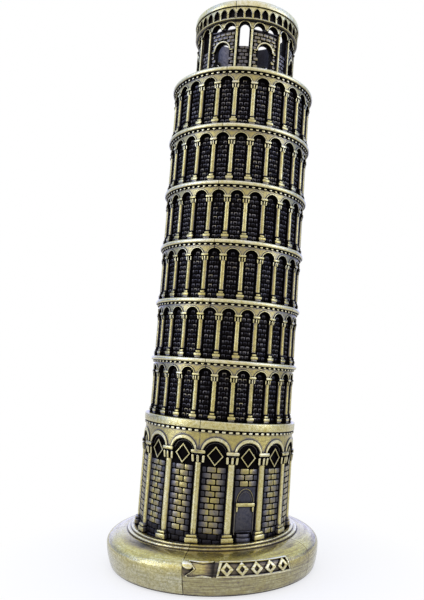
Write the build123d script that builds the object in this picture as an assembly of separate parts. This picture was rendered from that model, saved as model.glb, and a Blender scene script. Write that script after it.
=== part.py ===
from build123d import *
import os
from math import pi, radians, sqrt

# Miniature leaning arcaded tower on a round base, built from five castings per level.
# Units are millimetres and +Z is up. The origin is the centre of the felt face it stands on.
# An azimuth is measured about +Z from the door and ribbon (-Y) towards +X, the side it leans to.

# ---- driving dimensions ----
CASTINGS = 5  # castings round each level
FIT_GAP = 0.05  # gap between neighbouring castings, and between stacked pieces
LEAN = 4.55  # degrees, tower axis from vertical, towards +X
WALL = 1.8  # thickness of the shaft wall behind the relief

# Base: barrel side, rounded bulge, flat top with a stepped ring round the tower's foot
BASE_R = 44.0
BULGE_R = 45.85
RIM_Z = 0.4
BULGE_Z = 10.05
BASE_TOP_Z = 14.9
CROWN_R = 37.6
STEP_R = (36.9, 35.4)
STEP_H = 0.85
FOOT_HOLE_R = 33.5
BASE_WALL = 3.2
WEB_T = 3.5
WEB_HOLE_R = 12.0

# Ribbon on the front of the base
RIBBON_Z = (8.1, 13.1)
PLATE_AZ = (-19.3, 17.5)
TAIL_AZ = (-33.0, 34.0)
FOLD_AZ = 1.4
PLATE_RISE = 1.0
TAIL_RISE = (0.75, 0.35)
FRAME_W = 0.65
FIELD_DEPTH = 0.7
NOTCH_DEPTH = 2.6
LOZENGES = 5
LOZENGE_W = 3.0
LOZENGE_H = 3.6

# Underside closure
FELT_T = 0.9
FELT_R = 41.0
PLATE_T = 2.3
PLATE_R = 41.0
CLAMP_T = 2.0
CLAMP_R = 28.0

# Ground floor, heights along the tower axis from the base top
GROUND_BAYS = 15
GROUND_R = 33.0
GROUND_WALL_R = 31.6
GROUND_TOP = 47.8
GROUND_BAND_H = 3.3
GROUND_BAND_R = 33.3
GROUND_BAY_W = 10.3
GROUND_SPRING = 34.9
FOOT_DROP = 4.8
PEDESTAL_H = (2.2, 1.1)
PEDESTAL_W = (4.8, 4.1)
PEDESTAL_R = (34.1, 33.7)

# Door in the front bay
DOOR_W = 8.3
DOOR_SILL = 5.4
DOOR_TOP = 15.2
LINTEL_H = 1.4
TYMPANUM_R = 3.6
DOOR_RISE = 0.5
DOOR_STEP_W = 6.6
DOOR_STEP_Z = (1.6, 4.6)

# Six galleries
GALLERIES = 6
GALLERY_BAYS = 25
GALLERY_H = 24.76
GALLERY_R = 31.4
GALLERY_WALL_R = 29.8
CORNICE_R = 32.65
CORNICE_H = 1.9
BED_R = 32.1
BED_H = 0.9
GALLERY_BAY_W = 5.9
GALLERY_SPRING = 18.0
GALLERY_SILL = 2.1

# Deck between the shaft and the belfry
DECK_T = 2.2
DECK_R = 29.2
DECK_HOLE_R = 8.0

# Belfry drum and crown
BELFRY_UNITS = 7
BELFRY_R = 22.5
BELFRY_IN_R = 19.9
BELFRY_H = 34.6
FOOT_IN_R = 15.5
FOOT_H = 2.4
CROWN_Z = 26.3
CROWN_BAND_R = 23.9
RIM_START_Z = 31.6
RIM_R = 24.4
DOORWAY_W = 6.6
DOORWAY_SPRING = 12.9
PANEL_W = 11.6
PANEL_TOP = 22.2
PANEL_DEPTH = 0.7
WINDOW_W = 4.6
WINDOW_SILL = 14.6
WINDOW_SPRING = 23.1
LUNETTE_W = 4.7
LUNETTE_SILL = 22.6
NICHES = 40
NICHE_W = 2.5
NICHE_SPRING = 28.2
NICHE_SILL = 26.9
NICHE_DEPTH = 0.7

# Screws: M3 up into the shaft and the belfry, M2.5 into the base
SHAFT_SCREW_R = 23.5
BASE_SCREW_R = 35.6
DECK_SCREW_R = 17.6
SCREW_R = 1.5
SMALL_SCREW_R = 1.25
HEAD_R = 2.75
HEAD_H = 1.6
SCREW_GRIP = 5.0

SEGMENT_ARC = 360 / CASTINGS
NAMES = ("front", "front_right", "rear_right", "rear_left", "front_left")
AZIMUTHS = tuple(i * SEGMENT_ARC for i in range(CASTINGS))
SHAFT_TOP = GROUND_TOP + GALLERIES * GALLERY_H
TOWER = Location((0, 0, BASE_TOP_Z + FIT_GAP), (0, LEAN, 0))
BELFRY = TOWER * Pos(0, 0, SHAFT_TOP + FIT_GAP)
WEB_Z = BASE_TOP_Z - WEB_T
CLAMP_Z = WEB_Z - FIT_GAP - CLAMP_T
PLATE_Z = FELT_T + FIT_GAP


# ---- helpers ----
def turn(azimuth):
    """Turn a shape made at the front round to an azimuth."""
    return Rot(0, 0, azimuth)


def front_plane(radius):
    """Upright plane facing outward at the front, at a distance from the axis."""
    return Plane.XZ.offset(radius)


def spin(profile, arc=360.0, azimuth=0.0):
    """Revolve an outline of (radius, height) through an arc centred on an azimuth."""
    solid = revolve(Plane.XZ * profile, Axis.Z, revolution_arc=arc)
    return Rot(0, 0, azimuth - 90 - arc / 2) * solid


def outline(*points):
    """Closed face through (radius, height) corners."""
    return make_face(Polyline(*points, close=True))


def ring(inner, outer, low, high):
    """Outline of a plain ring."""
    return outline((inner, low), (outer, low), (outer, high), (inner, high))


def wedge(low_az, high_az, radius, low, high, gap=FIT_GAP):
    """Sector between two azimuths, less half the gap at each side of it."""
    trim = gap / 2 / radius * 180 / pi * 2
    arc = high_az - low_az - trim
    return spin(ring(0, radius, low, high), arc, (low_az + high_az) / 2)


def round_arch(width, sill, spring):
    """Opening with straight sides and a half-round head."""
    sides = Pos(0, (sill + spring) / 2) * Rectangle(width, spring - sill)
    return sides + Pos(0, spring) * Circle(width / 2)


def pointed_arch(width, sill, spring):
    """Opening with straight sides and two arcs that meet in a point."""
    half = width / 2
    apex = spring + half * sqrt(3)
    head = [
        Line((-half, sill), (half, sill)),
        Line((half, sill), (half, spring)),
        RadiusArc((half, spring), (0, apex), -width),
        RadiusArc((0, apex), (-half, spring), -width),
        Line((-half, spring), (-half, sill)),
    ]
    return make_face(head)


def cut_tool(face, start, depth, azimuth):
    """Prism through a wall, from a distance off the axis outward, at an azimuth."""
    return turn(azimuth) * extrude(front_plane(start) * face, amount=depth)


def rod(radius, low, high):
    """Vertical cylinder on the axis between two heights."""
    return Pos(0, 0, low) * Cylinder(radius, high - low, align=(Align.CENTER, Align.CENTER, Align.MIN))


def at(radius, azimuth):
    """Place on a pitch circle."""
    return turn(azimuth) * Pos(0, -radius, 0)


def centred(count):
    """Azimuths of a centred row of bays in one casting of the shaft."""
    pitch = SEGMENT_ARC / count
    return [(i - (count - 1) / 2) * pitch for i in range(count)]


# ---- base ----
def base_skin(grow=0.0):
    """Outer edge of the base from the rim up to the flat top, optionally grown outward."""
    crown_rx = BULGE_R - CROWN_R + grow
    crown_ry = BASE_TOP_Z - BULGE_Z + grow
    side = TangentArc((BULGE_R + grow, BULGE_Z), (BASE_R + grow, RIM_Z), tangent=(0, -1))
    crown = EllipticalCenterArc((CROWN_R, BULGE_Z), crown_rx, crown_ry, start_angle=0, arc_size=90)
    return [side, crown]


def base_profile():
    """Section through a base casting: skin, stepped foot ring, web and hollow underside."""
    hollow_r = BASE_R - BASE_WALL
    seat_r = PLATE_R + FIT_GAP
    seat_z = PLATE_Z + PLATE_T
    inner = Polyline(
        (CROWN_R, BASE_TOP_Z),
        (STEP_R[0], BASE_TOP_Z),
        (STEP_R[0], BASE_TOP_Z + STEP_H),
        (STEP_R[1], BASE_TOP_Z + STEP_H),
        (STEP_R[1], BASE_TOP_Z + 2 * STEP_H),
        (FOOT_HOLE_R, BASE_TOP_Z + 2 * STEP_H),
        (FOOT_HOLE_R, BASE_TOP_Z),
        (WEB_HOLE_R, BASE_TOP_Z),
        (WEB_HOLE_R, WEB_Z),
        (CROWN_R - BASE_WALL, WEB_Z),
        (hollow_r - BASE_WALL, seat_z + 2 * BASE_WALL),
        (hollow_r - BASE_WALL, seat_z),
        (seat_r, seat_z),
        (seat_r, RIM_Z),
        (BASE_R, RIM_Z),
    )
    return make_face(base_skin() + [inner])


def ribbon_band(low_az, high_az, rise):
    """Part of the ribbon that follows the bulge between two azimuths."""
    low, high = RIBBON_Z
    bottom = Line((CROWN_R - 1, RIM_Z), (BASE_R + rise, RIM_Z))
    back = Line((CROWN_R, BASE_TOP_Z + rise), (CROWN_R - 1, BASE_TOP_Z + rise))
    inner = Line((CROWN_R - 1, BASE_TOP_Z + rise), (CROWN_R - 1, RIM_Z))
    skin = make_face([bottom, *base_skin(rise), back, inner])
    arc = high_az - low_az
    middle = (low_az + high_az) / 2
    body = spin(skin, arc, middle)
    keep = spin(ring(CROWN_R, BULGE_R + 5, low, high), arc, middle)
    return body & keep


def ribbon():
    """Ribbon: framed centre plate with plain lozenges, and a folded tail at each side."""
    plate = ribbon_band(*PLATE_AZ, PLATE_RISE)
    left = ribbon_band(TAIL_AZ[0], PLATE_AZ[0] - FOLD_AZ, TAIL_RISE[0])
    right = ribbon_band(PLATE_AZ[1] + FOLD_AZ / 2, TAIL_AZ[1], TAIL_RISE[1])
    low, high = RIBBON_Z
    middle = (low + high) / 2
    notch_tip = radians(TAIL_AZ[0]) * BULGE_R + NOTCH_DEPTH
    notch = make_face(
        Polyline((-BULGE_R, low - 1), (notch_tip, middle), (-BULGE_R, high + 1), close=True)
    )
    left -= extrude(front_plane(CROWN_R - 10) * notch, amount=30)
    frame_az = FRAME_W / BULGE_R * 180 / pi
    field = ribbon_band(PLATE_AZ[0] + frame_az, PLATE_AZ[1] - frame_az, PLATE_RISE + 1)
    field &= spin(ring(CROWN_R, BULGE_R + 5, low + FRAME_W, high - FRAME_W))
    floor = ribbon_band(*PLATE_AZ, PLATE_RISE - FIELD_DEPTH)
    diamond = make_face(
        Polyline(
            (-LOZENGE_W / 2, 0), (0, -LOZENGE_H / 2), (LOZENGE_W / 2, 0), (0, LOZENGE_H / 2), close=True
        )
    )
    charges = Part()
    pitch = (PLATE_AZ[1] - PLATE_AZ[0] - 2 * frame_az) / LOZENGES
    for i in range(LOZENGES):
        azimuth = PLATE_AZ[0] + frame_az + (i + 0.5) * pitch
        prism = cut_tool(Pos(0, middle) * diamond, CROWN_R - 1, BULGE_R, azimuth)
        charges += prism & plate
    return (plate - field) + floor + charges + left + right


def base_segment(index):
    """One fifth of the base, with a boss for the bottom plate and a hole for a shaft screw."""
    azimuth = AZIMUTHS[index]
    arc = SEGMENT_ARC - FIT_GAP / BULGE_R * 180 / pi
    body = spin(base_profile(), arc, azimuth)
    boss = at(BASE_SCREW_R, azimuth) * rod(2 * SMALL_SCREW_R + 1, PLATE_Z + PLATE_T, WEB_Z + 1)
    body += boss
    if index == 0:
        body += ribbon()
    body -= at(BASE_SCREW_R, azimuth) * rod(
        SMALL_SCREW_R, PLATE_Z, PLATE_Z + PLATE_T + SCREW_GRIP + 1
    )
    return body - at(SHAFT_SCREW_R, azimuth) * rod(SCREW_R + 0.2, WEB_Z - 1, BASE_TOP_Z + 1)


# ---- shaft ----
def stave_profile():
    """Section through the shaft wall, ground floor to sixth cornice, at full relief."""
    inner_r = GALLERY_WALL_R - WALL
    flange_r = SHAFT_SCREW_R - 2 * SCREW_R - 1
    seat_r = DECK_R + FIT_GAP
    band_low = GROUND_TOP - GROUND_BAND_H
    points = [
        (flange_r, -FOOT_DROP),
        (GROUND_R, -FOOT_DROP),
        (GROUND_R, band_low),
        (GROUND_BAND_R, band_low),
        (GROUND_BAND_R, GROUND_TOP),
    ]
    for level in range(1, GALLERIES + 1):
        top = GROUND_TOP + level * GALLERY_H
        points += [
            (GALLERY_R, top - GALLERY_H),
            (GALLERY_R, top - CORNICE_H - BED_H),
            (BED_R, top - CORNICE_H - BED_H),
            (BED_R, top - CORNICE_H),
            (CORNICE_R, top - CORNICE_H),
            (CORNICE_R, top),
        ]
    points += [
        (seat_r, SHAFT_TOP),
        (seat_r, SHAFT_TOP - DECK_T - FIT_GAP),
        (inner_r, SHAFT_TOP - DECK_T - FIT_GAP),
        (inner_r, SCREW_GRIP + 3),
        (flange_r, SCREW_GRIP + 3),
    ]
    return outline(*points)


def gallery_niches():
    """Arched recesses of the six galleries in one casting; the outer two are shared halves."""
    pitch = 360 / GALLERY_BAYS
    bays = GALLERY_BAYS // CASTINGS
    niches = []
    for level in range(GALLERIES):
        floor = GROUND_TOP + level * GALLERY_H
        face = round_arch(GALLERY_BAY_W, floor + GALLERY_SILL, floor + GALLERY_SPRING)
        for i in range(bays + 1):
            niches.append(cut_tool(face, GALLERY_WALL_R, WALL, (i - bays / 2) * pitch))
    return niches


def ground_niches():
    """Arched recesses of the ground floor in one casting."""
    face = round_arch(GROUND_BAY_W, -FOOT_DROP, GROUND_SPRING)
    return [cut_tool(face, GROUND_WALL_R, WALL, az) for az in centred(GROUND_BAYS // CASTINGS)]


def door():
    """Raised door leaf, lintel, arched tympanum and step in the front bay."""
    rise = DOOR_RISE
    leaf = Pos(0, (DOOR_SILL + DOOR_TOP) / 2) * Rectangle(DOOR_W - 1, DOOR_TOP - DOOR_SILL)
    lintel = Pos(0, DOOR_TOP + LINTEL_H / 2) * Rectangle(DOOR_W, LINTEL_H)
    tympanum = round_arch(2 * TYMPANUM_R, DOOR_TOP + LINTEL_H, DOOR_TOP + LINTEL_H + 1)
    step_low, step_high = DOOR_STEP_Z
    step = Pos(0, (step_low + step_high) / 2) * Rectangle(DOOR_STEP_W, step_high - step_low)
    back = GROUND_WALL_R - 1
    solid = cut_tool(leaf, back, 1 + rise, 0) + cut_tool(tympanum, back, 1 + rise, 0)
    solid += cut_tool(lintel, back, 1 + 2 * rise, 0)
    return solid + cut_tool(step, back, 1 + 2 * rise, 0)


def pedestals():
    """Two-block feet under the columns; they stand on the level foot ring, not on the lean."""
    blocks = Part()
    z = BASE_TOP_Z + 2 * STEP_H + FIT_GAP
    for height, width, radius in zip(PEDESTAL_H, PEDESTAL_W, PEDESTAL_R):
        for i in range(CASTINGS - 1):
            azimuth = (i - 1.5) * 360 / GROUND_BAYS
            block = Pos(0, -radius, z) * Box(
                width, radius - GROUND_WALL_R + 1, height, align=(Align.CENTER, Align.MIN, Align.MIN)
            )
            blocks += turn(azimuth) * block
        z += height
    return blocks


def shaft_stave(index):
    """One fifth of the shaft, cut level at its foot and tapped for its screw."""
    azimuth = AZIMUTHS[index]
    arc = SEGMENT_ARC - FIT_GAP / CORNICE_R * 180 / pi
    body = spin(stave_profile(), arc) - gallery_niches() - ground_niches()
    if index == 0:
        body += door()
    body = TOWER * turn(azimuth) * body
    feet = turn(azimuth) * pedestals()
    reach = PEDESTAL_R[0] + 2
    feet &= TOWER * turn(azimuth) * spin(ring(0, reach, -5, 12), arc)
    body += feet
    body -= rod(2 * BASE_R, -2 * BASE_TOP_Z, BASE_TOP_Z + FIT_GAP)
    screw_hole = rod(SCREW_R, BASE_TOP_Z - 1, BASE_TOP_Z + SCREW_GRIP + 1)
    return body - at(SHAFT_SCREW_R, azimuth) * screw_hole


# ---- belfry ----
def belfry_ring():
    """Whole belfry before it is parted: drum, openings, crown band with pointed niches, rim."""
    profile = outline(
        (FOOT_IN_R, 0),
        (BELFRY_R, 0),
        (BELFRY_R, CROWN_Z),
        (CROWN_BAND_R, CROWN_Z),
        (CROWN_BAND_R, RIM_START_Z),
        (RIM_R, RIM_START_Z),
        (RIM_R, BELFRY_H),
        (BELFRY_IN_R, BELFRY_H),
        (BELFRY_IN_R, FOOT_H),
        (FOOT_IN_R, FOOT_H),
    )
    unit = 360 / BELFRY_UNITS
    tools = []
    panel = Pos(0, (FOOT_H + PANEL_TOP) / 2) * Rectangle(PANEL_W, PANEL_TOP - FOOT_H)
    doorway = round_arch(DOORWAY_W, FOOT_H, DOORWAY_SPRING)
    lunette = Pos(0, LUNETTE_SILL) * Circle(LUNETTE_W / 2)
    lunette &= Pos(0, LUNETTE_SILL + LUNETTE_W / 2) * Rectangle(LUNETTE_W, LUNETTE_W)
    window = round_arch(WINDOW_W, WINDOW_SILL, WINDOW_SPRING)
    inside = BELFRY_IN_R - 2
    through = 8
    for i in range(BELFRY_UNITS):
        azimuth = i * unit
        tools.append(cut_tool(panel, BELFRY_R - 2 * PANEL_DEPTH, through, azimuth))
        tools.append(cut_tool(doorway, inside, through, azimuth))
        tools.append(cut_tool(lunette, inside, through, azimuth - unit / 6))
        tools.append(cut_tool(lunette, inside, through, azimuth + unit / 6))
        tools.append(cut_tool(window, inside, through, azimuth + unit / 2))
    niche = pointed_arch(NICHE_W, NICHE_SILL, NICHE_SPRING)
    for i in range(NICHES):
        azimuth = (i + 0.5) * 360 / NICHES
        tools.append(cut_tool(niche, CROWN_BAND_R - NICHE_DEPTH, through, azimuth))
    return spin(profile) - tools


def belfry_segment(ring_solid, index):
    """One fifth of the belfry, tapped from below for its screw."""
    azimuth = AZIMUTHS[index]
    half = SEGMENT_ARC / 2
    part = ring_solid & wedge(azimuth - half, azimuth + half, RIM_R + 1, -1, BELFRY_H + 1)
    part -= at(DECK_SCREW_R, azimuth) * rod(SCREW_R, -1, FOOT_H + 1)
    return BELFRY * part


def belfry_deck():
    """Disc let into the shaft top; it carries the belfry."""
    disc = rod(DECK_R, -DECK_T - FIT_GAP, -FIT_GAP) - rod(DECK_HOLE_R, -DECK_T - 1, 1)
    for azimuth in AZIMUTHS:
        disc -= at(DECK_SCREW_R, azimuth) * rod(SCREW_R + 0.2, -DECK_T - 1, 1)
    return BELFRY * disc


# ---- underside and fasteners ----
def pan_screw(radius, head_z, tip_z):
    """Pan-head screw pointing up: the head's top is at head_z and the tip at tip_z."""
    head = Pos(0, 0, head_z - HEAD_H) * Cone(
        HEAD_R * 0.75, HEAD_R, HEAD_H, align=(Align.CENTER, Align.CENTER, Align.MIN)
    )
    shank = rod(radius - FIT_GAP, head_z, tip_z)
    recess = Pos(0, 0, head_z - HEAD_H) * Box(HEAD_R, HEAD_R / 4, HEAD_H)
    recess += Rot(0, 0, 90) * recess
    return head + shank - recess


def screw_ring(pitch_r, radius, head_z, tip_z):
    """One screw for each casting."""
    screw = pan_screw(radius, head_z, tip_z)
    return [at(pitch_r, azimuth) * screw for azimuth in AZIMUTHS]


def clamp_plate():
    """Steel disc under the base web; the shaft screws pull it and the shaft together."""
    disc = rod(CLAMP_R, CLAMP_Z, CLAMP_Z + CLAMP_T) - rod(WEB_HOLE_R, CLAMP_Z - 1, WEB_Z + 1)
    for azimuth in AZIMUTHS:
        disc -= at(SHAFT_SCREW_R, azimuth) * rod(SCREW_R + 0.2, CLAMP_Z - 1, WEB_Z + 1)
    return disc


def bottom_plate():
    """Steel cover that closes the base and ties its castings, with sunk screw seats."""
    top = PLATE_Z + PLATE_T
    disc = rod(PLATE_R, PLATE_Z, top)
    for azimuth in AZIMUTHS:
        disc -= at(BASE_SCREW_R, azimuth) * rod(SMALL_SCREW_R + 0.2, PLATE_Z - 1, top + 1)
        disc -= at(BASE_SCREW_R, azimuth) * rod(HEAD_R + 0.3, PLATE_Z - 1, PLATE_Z + HEAD_H)
    return disc


def felt_pad():
    """Felt disc that the model stands on, let in over the screw heads."""
    return rod(FELT_R, 0, FELT_T)


def build():
    """All pieces by node name."""
    parts = {}
    ring_solid = belfry_ring()
    for index, name in enumerate(NAMES):
        parts[f"base_segment_{name}"] = base_segment(index)
        parts[f"shaft_stave_{name}"] = shaft_stave(index)
        parts[f"belfry_segment_{name}"] = belfry_segment(ring_solid, index)
    parts["belfry_deck"] = belfry_deck()
    parts["clamp_plate"] = clamp_plate()
    parts["bottom_plate"] = bottom_plate()
    parts["felt_pad"] = felt_pad()
    shaft_tip = BASE_TOP_Z + SCREW_GRIP
    parts["shaft_screws"] = screw_ring(SHAFT_SCREW_R, SCREW_R, CLAMP_Z - FIT_GAP, shaft_tip)
    base_head = PLATE_Z + HEAD_H - FIT_GAP / 2
    parts["base_screws"] = screw_ring(
        BASE_SCREW_R, SMALL_SCREW_R, base_head, PLATE_Z + PLATE_T + SCREW_GRIP
    )
    deck_head = -DECK_T - 2 * FIT_GAP
    deck_screws = screw_ring(DECK_SCREW_R, SCREW_R, deck_head, FOOT_H - 0.4)
    parts["deck_screws"] = [BELFRY * screw for screw in deck_screws]
    return parts


os.makedirs("parts", exist_ok=True)
for node, shape in build().items():
    solids = [s for piece in (shape if isinstance(shape, list) else [shape]) for s in piece.solids()]
    export_step(Compound(children=solids) if len(solids) > 1 else solids[0], f"parts/{node}.step")
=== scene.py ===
import math
import random

import bmesh
import bpy
import numpy as np
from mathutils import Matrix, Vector
from mathutils.geometry import delaunay_2d_cdt


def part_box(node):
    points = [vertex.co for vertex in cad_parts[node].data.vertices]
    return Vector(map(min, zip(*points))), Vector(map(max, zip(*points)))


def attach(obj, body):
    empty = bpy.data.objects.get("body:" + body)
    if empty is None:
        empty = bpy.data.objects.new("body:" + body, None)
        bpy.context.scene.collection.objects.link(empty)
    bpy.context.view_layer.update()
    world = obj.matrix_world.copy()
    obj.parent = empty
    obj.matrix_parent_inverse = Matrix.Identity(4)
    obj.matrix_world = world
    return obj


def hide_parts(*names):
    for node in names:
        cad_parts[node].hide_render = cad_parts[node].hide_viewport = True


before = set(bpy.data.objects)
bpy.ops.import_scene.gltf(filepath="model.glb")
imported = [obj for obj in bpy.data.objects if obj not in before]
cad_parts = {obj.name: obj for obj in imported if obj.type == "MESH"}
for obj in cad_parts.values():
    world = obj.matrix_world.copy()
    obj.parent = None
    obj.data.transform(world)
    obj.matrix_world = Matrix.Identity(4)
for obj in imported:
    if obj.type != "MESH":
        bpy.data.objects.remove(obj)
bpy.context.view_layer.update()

# Leaning arcaded tower souvenir. Shapes are in millimetres; the meshes are made in metres at the end.
# A casting's relief is built from closed shells: each is drawn flat (x along the wall, y up, z outward)
# and bent round the axis it belongs to. Azimuth 0 faces -Y and +90 faces +X, the side it leans to.
# Polish says how bright a point's metal is: mostly how far it is rubbed, at some places painted shade or
# painted highlight; 0 is black patina, 1 is brass, more is pale cream, worn brass with a painted highlight.
MM = 0.001
NAMES = ("front", "front_right", "rear_right", "rear_left", "front_left")
CASTINGS = len(NAMES)
SEGMENT = 360 / CASTINGS
HALF = SEGMENT / 2
GAP = 0.05
BASE_SEAM, SHAFT_SEAM, BELFRY_SEAM = 0.03, 0.045, 0.06  # degrees, half the gap at each level's radius
SEED = 11

# ---- places read from the frame ----
base_low, base_high = (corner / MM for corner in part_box("base_segment_rear_right"))
deck_low, deck_high = (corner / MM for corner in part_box("belfry_deck"))
STEP_H = 0.85
BASE_TOP = base_high.z - 2 * STEP_H
RIM_Z = base_low.z
DECK_T = 2.2
FOOT = np.array((0.0, 0.0, BASE_TOP + GAP))
deck_mid = np.array((deck_low + deck_high) / 2)
LEAN = math.atan2(deck_mid[0], deck_mid[2] - FOOT[2])
SHAFT_TOP = float(np.linalg.norm(deck_mid - FOOT)) + DECK_T / 2
AXIS = np.array((math.sin(LEAN), 0.0, math.cos(LEAN)))
SIDE = np.array((math.cos(LEAN), 0.0, -math.sin(LEAN)))

# ---- ground floor: heights from the tower's foot, depths from GROUND_R ----
GROUND_R = 33.0
GROUND_BAYS = 15
GROUND_PITCH = 360 / GROUND_BAYS
GROUND_TOP = 47.8
GROUND_WALL = -1.35
GROUND_SPRING = 35.5
GROUND_ARCH = (6.2, 6.1)  # half width and rise of the arch moulding
GROUND_BAND_R, GROUND_BAND_H = 33.35, 3.35
GROUND_BEADS = 15
COURSE_H = 2.36
DOOR_HEAD = 16.6

# ---- galleries: heights from each floor, depths from GALLERY_R ----
GALLERIES = 6
GALLERY_BAYS = 25
GALLERY_PITCH = 360 / GALLERY_BAYS
GALLERY_R = 31.4
GALLERY_H = (SHAFT_TOP - GROUND_TOP) / GALLERIES
GALLERY_WALL = -1.8
GALLERY_SPRING = 17.95
GALLERY_ARCH = (3.42, 3.42)
GALLERY_COURSE_H = 1.93
GALLERY_BEADS = 15
GALLERY_RUB = (1.0, 0.8, 0.8, 0.85, 1.0, 1.5)  # how much hands have rubbed each level
CAPITAL_Y = 15.85
CORNICE_Y = 23.0
CORNICE_R = 32.65
INNER_R = 28.0

# ---- belfry: heights from the deck, depths from BELFRY_R ----
BELFRY_R = 22.5
BELFRY_IN = 19.9
BELFRY_H = 34.6
BELFRY_UNITS = 7
UNIT = 360 / BELFRY_UNITS
UNIT_W = math.radians(UNIT) * BELFRY_R
SIXTH = UNIT_W / 6
BELFRY_WALL = -0.95
BELFRY_SPRING = 23.0
ARCADE_TOP = 26.6  # behind the string course
LEDGE_Y = 22.2
DOORWAY_SPRING = 12.9
WINDOW_SILL = 14.6
LIT_PATCH_AZ = 184  # middle of the painted patch of light and cool reflection inside the ring
NICHES = 40
CROWN_BAND_R = 23.9
CROWN_LOW, CROWN_HIGH = 26.0, 31.35

# ---- base ----
BASE_R = 44.0
BULGE_R = 45.85
BULGE_Z = 10.05
CROWN_R = 37.6
STEP_R = (36.9, 35.4)
FOOT_HOLE_R = 33.5
BOSS_R = 35.6
WEB_T, WEB_HOLE_R = 3.5, 12.0
CAVITY_R = 37.6
PLATE_SEAT = (41.05, 3.25)  # radius and height of the bottom plate's recess
RIBBON_Z = (8.2, 13.0)
DEG = math.radians(1) * BULGE_R  # one degree along the bulge
LOZENGES = 5
RIBBON_CELL = 0.8  # mesh size of its plates


# =========================== shells ===========================
class Shell:
    """A closed surface: points, polygons, and the polish of each point."""

    def __init__(self, points, polygons, polish_and_light):
        self.co = np.asarray(points, float)
        self.polygons = polygons
        self.polish_and_light = np.ones(len(self.co)) * polish_and_light
        if self.volume() < 0:
            self.polygons = [p[::-1] for p in polygons]

    def fans(self):
        """Triangles, three point numbers in each row."""
        return np.array([(p[0], p[i], p[i + 1]) for p in self.polygons for i in range(1, len(p) - 1)])

    def volume(self):
        """Signed volume, positive where the polygons face outward."""
        fans = self.fans()
        a, b, c = (self.co[fans[:, i]] - self.co.mean(0) for i in range(3))
        return float(np.einsum("ij,ij->", a, np.cross(b, c)))

    def rubbed(self):
        """Take polish off where the surface turns away from a hand that rubs the outside of the tower."""
        fans = self.fans()
        a, b, c = (self.co[fans[:, i]] for i in range(3))
        face = np.cross(b - a, c - a)
        normal = np.zeros_like(self.co)
        for i in range(3):
            np.add.at(normal, fans[:, i], face)
        normal /= np.maximum(np.linalg.norm(normal, axis=1), 1e-9)[:, None]
        out = self.co[:, :2] / np.linalg.norm(self.co[:, :2], axis=1)[:, None]
        facing = np.maximum((normal[:, :2] * out).sum(1), 0.7 * normal[:, 2])
        self.polish_and_light = self.polish_and_light * np.interp(facing, (0.25, 0.78), (0.04, 1.0))
        return self

    def moved(self, co):
        """Same surface with its points somewhere else."""
        other = Shell.__new__(Shell)
        other.co, other.polygons, other.polish_and_light = np.asarray(co, float), self.polygons, self.polish_and_light
        return other

    def at(self, x=0.0, y=0.0, z=0.0):
        """Shifted copy."""
        return self.moved(self.co + (x, y, z))


def skin(rings, polish_and_light, loop=False):
    """Shell through rings of equal length; loop joins the last ring to the first, else both are capped."""
    m, n = len(rings), len(rings[0])
    polygons = []
    for i in range(m if loop else m - 1):
        a, b = i * n, (i + 1) % m * n
        polygons += [(a + j, a + (j + 1) % n, b + (j + 1) % n, b + j) for j in range(n)]
    if not loop:
        polygons += [tuple(range(n))[::-1], tuple(range((m - 1) * n, m * n))]
    spread = np.repeat(polish_and_light, n) if np.ndim(polish_and_light) and len(polish_and_light) == m else polish_and_light
    return Shell(np.concatenate(rings), polygons, spread)


def round_axis(azimuth, r, z):
    """Point on a circle about the upright axis."""
    return r * np.sin(azimuth), -r * np.cos(azimuth), z


def bend(shell, azimuth, radius, lift=0.0):
    """Wrap a flat shell round the axis, centred on an azimuth, at a reference radius."""
    x, y, z = shell.co.T
    return shell.moved(np.stack(round_axis(math.radians(azimuth) + x / radius, radius + z, y + lift), 1))


def bent(parts, azimuth, radius, lift=0.0):
    """Flat shells of one bay, wrapped round the axis together."""
    return [bend(part, azimuth, radius, lift) for part in parts]


def block(w, h, front, depth, bevel, polish_and_light=1.0, side=0.3, corner=None, taper=0.0, edge=None, dish=0.0):
    """Rounded raised block centred on x = y = 0; taper narrows its lower end, dish hollows its face.

    Side is the polish of its flanks and edge that of the rim round its face.
    """
    corner = bevel if corner is None else corner
    edge = polish_and_light + 0.12 if edge is None else edge

    def ring(z, inset):
        x, y, c = w / 2 - inset, h / 2 - inset, max(corner - inset * 0.6, 0.02)
        right = ((x, c - y), (x, y - c), (x - c, y), (c - x, y))
        points = (*right, (-x, y - c), (-x, c - y), (c - x, -y), (x - c, -y))
        return np.array([(px * (1 - taper * (0.5 - py / h)), py, z) for px, py in points])

    rings = [ring(front - depth, 0.0), ring(front - bevel, 0.0)]
    rings += [ring(front - 0.3 * bevel, 0.3 * bevel), ring(front, bevel)]
    if dish:
        rings.append(ring(front - 0.3 * dish, bevel + dish))
        return skin(rings, (0.0, side, edge, edge, polish_and_light))
    return skin(rings, (0.0, side, edge, polish_and_light))


def lathe(profile, steps, polish_and_light):
    """Turned piece about its own upright axis, from (radius, height) points."""
    turn = np.arange(steps) / steps * 2 * math.pi
    rings = [np.stack((r * np.sin(turn), np.full(steps, y), r * np.cos(turn)), 1) for r, y in profile]
    return skin(rings, polish_and_light)


def moulding(outer, inner, back, front, bevel, polish_and_light=1.0, side=0.3, loop=False):
    """Raised strip between two lines of points, rounded along both edges."""
    rings = []
    for o, n in zip(np.asarray(outer, float), np.asarray(inner, float)):
        lean = (n - o) / np.linalg.norm(n - o) * bevel
        low = front - bevel
        section = [(*o, back), (*o, low), (*(o + lean), front), (*(n - lean), front), (*n, low), (*n, back)]
        rings.append(np.array(section))
    tone = np.tile((0.0, side, polish_and_light, polish_and_light, side, 0.0), len(rings))
    return skin(rings, tone, loop)


def arc(rx, ry, start=0.0, end=180.0, steps=24, x=0.0, y=0.0):
    """Points on part of an ellipse, from its right-hand end over the top."""
    t = np.radians(np.linspace(start, end, steps + 1))
    return np.stack((x + rx * np.cos(t), y + ry * np.sin(t)), 1)


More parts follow.
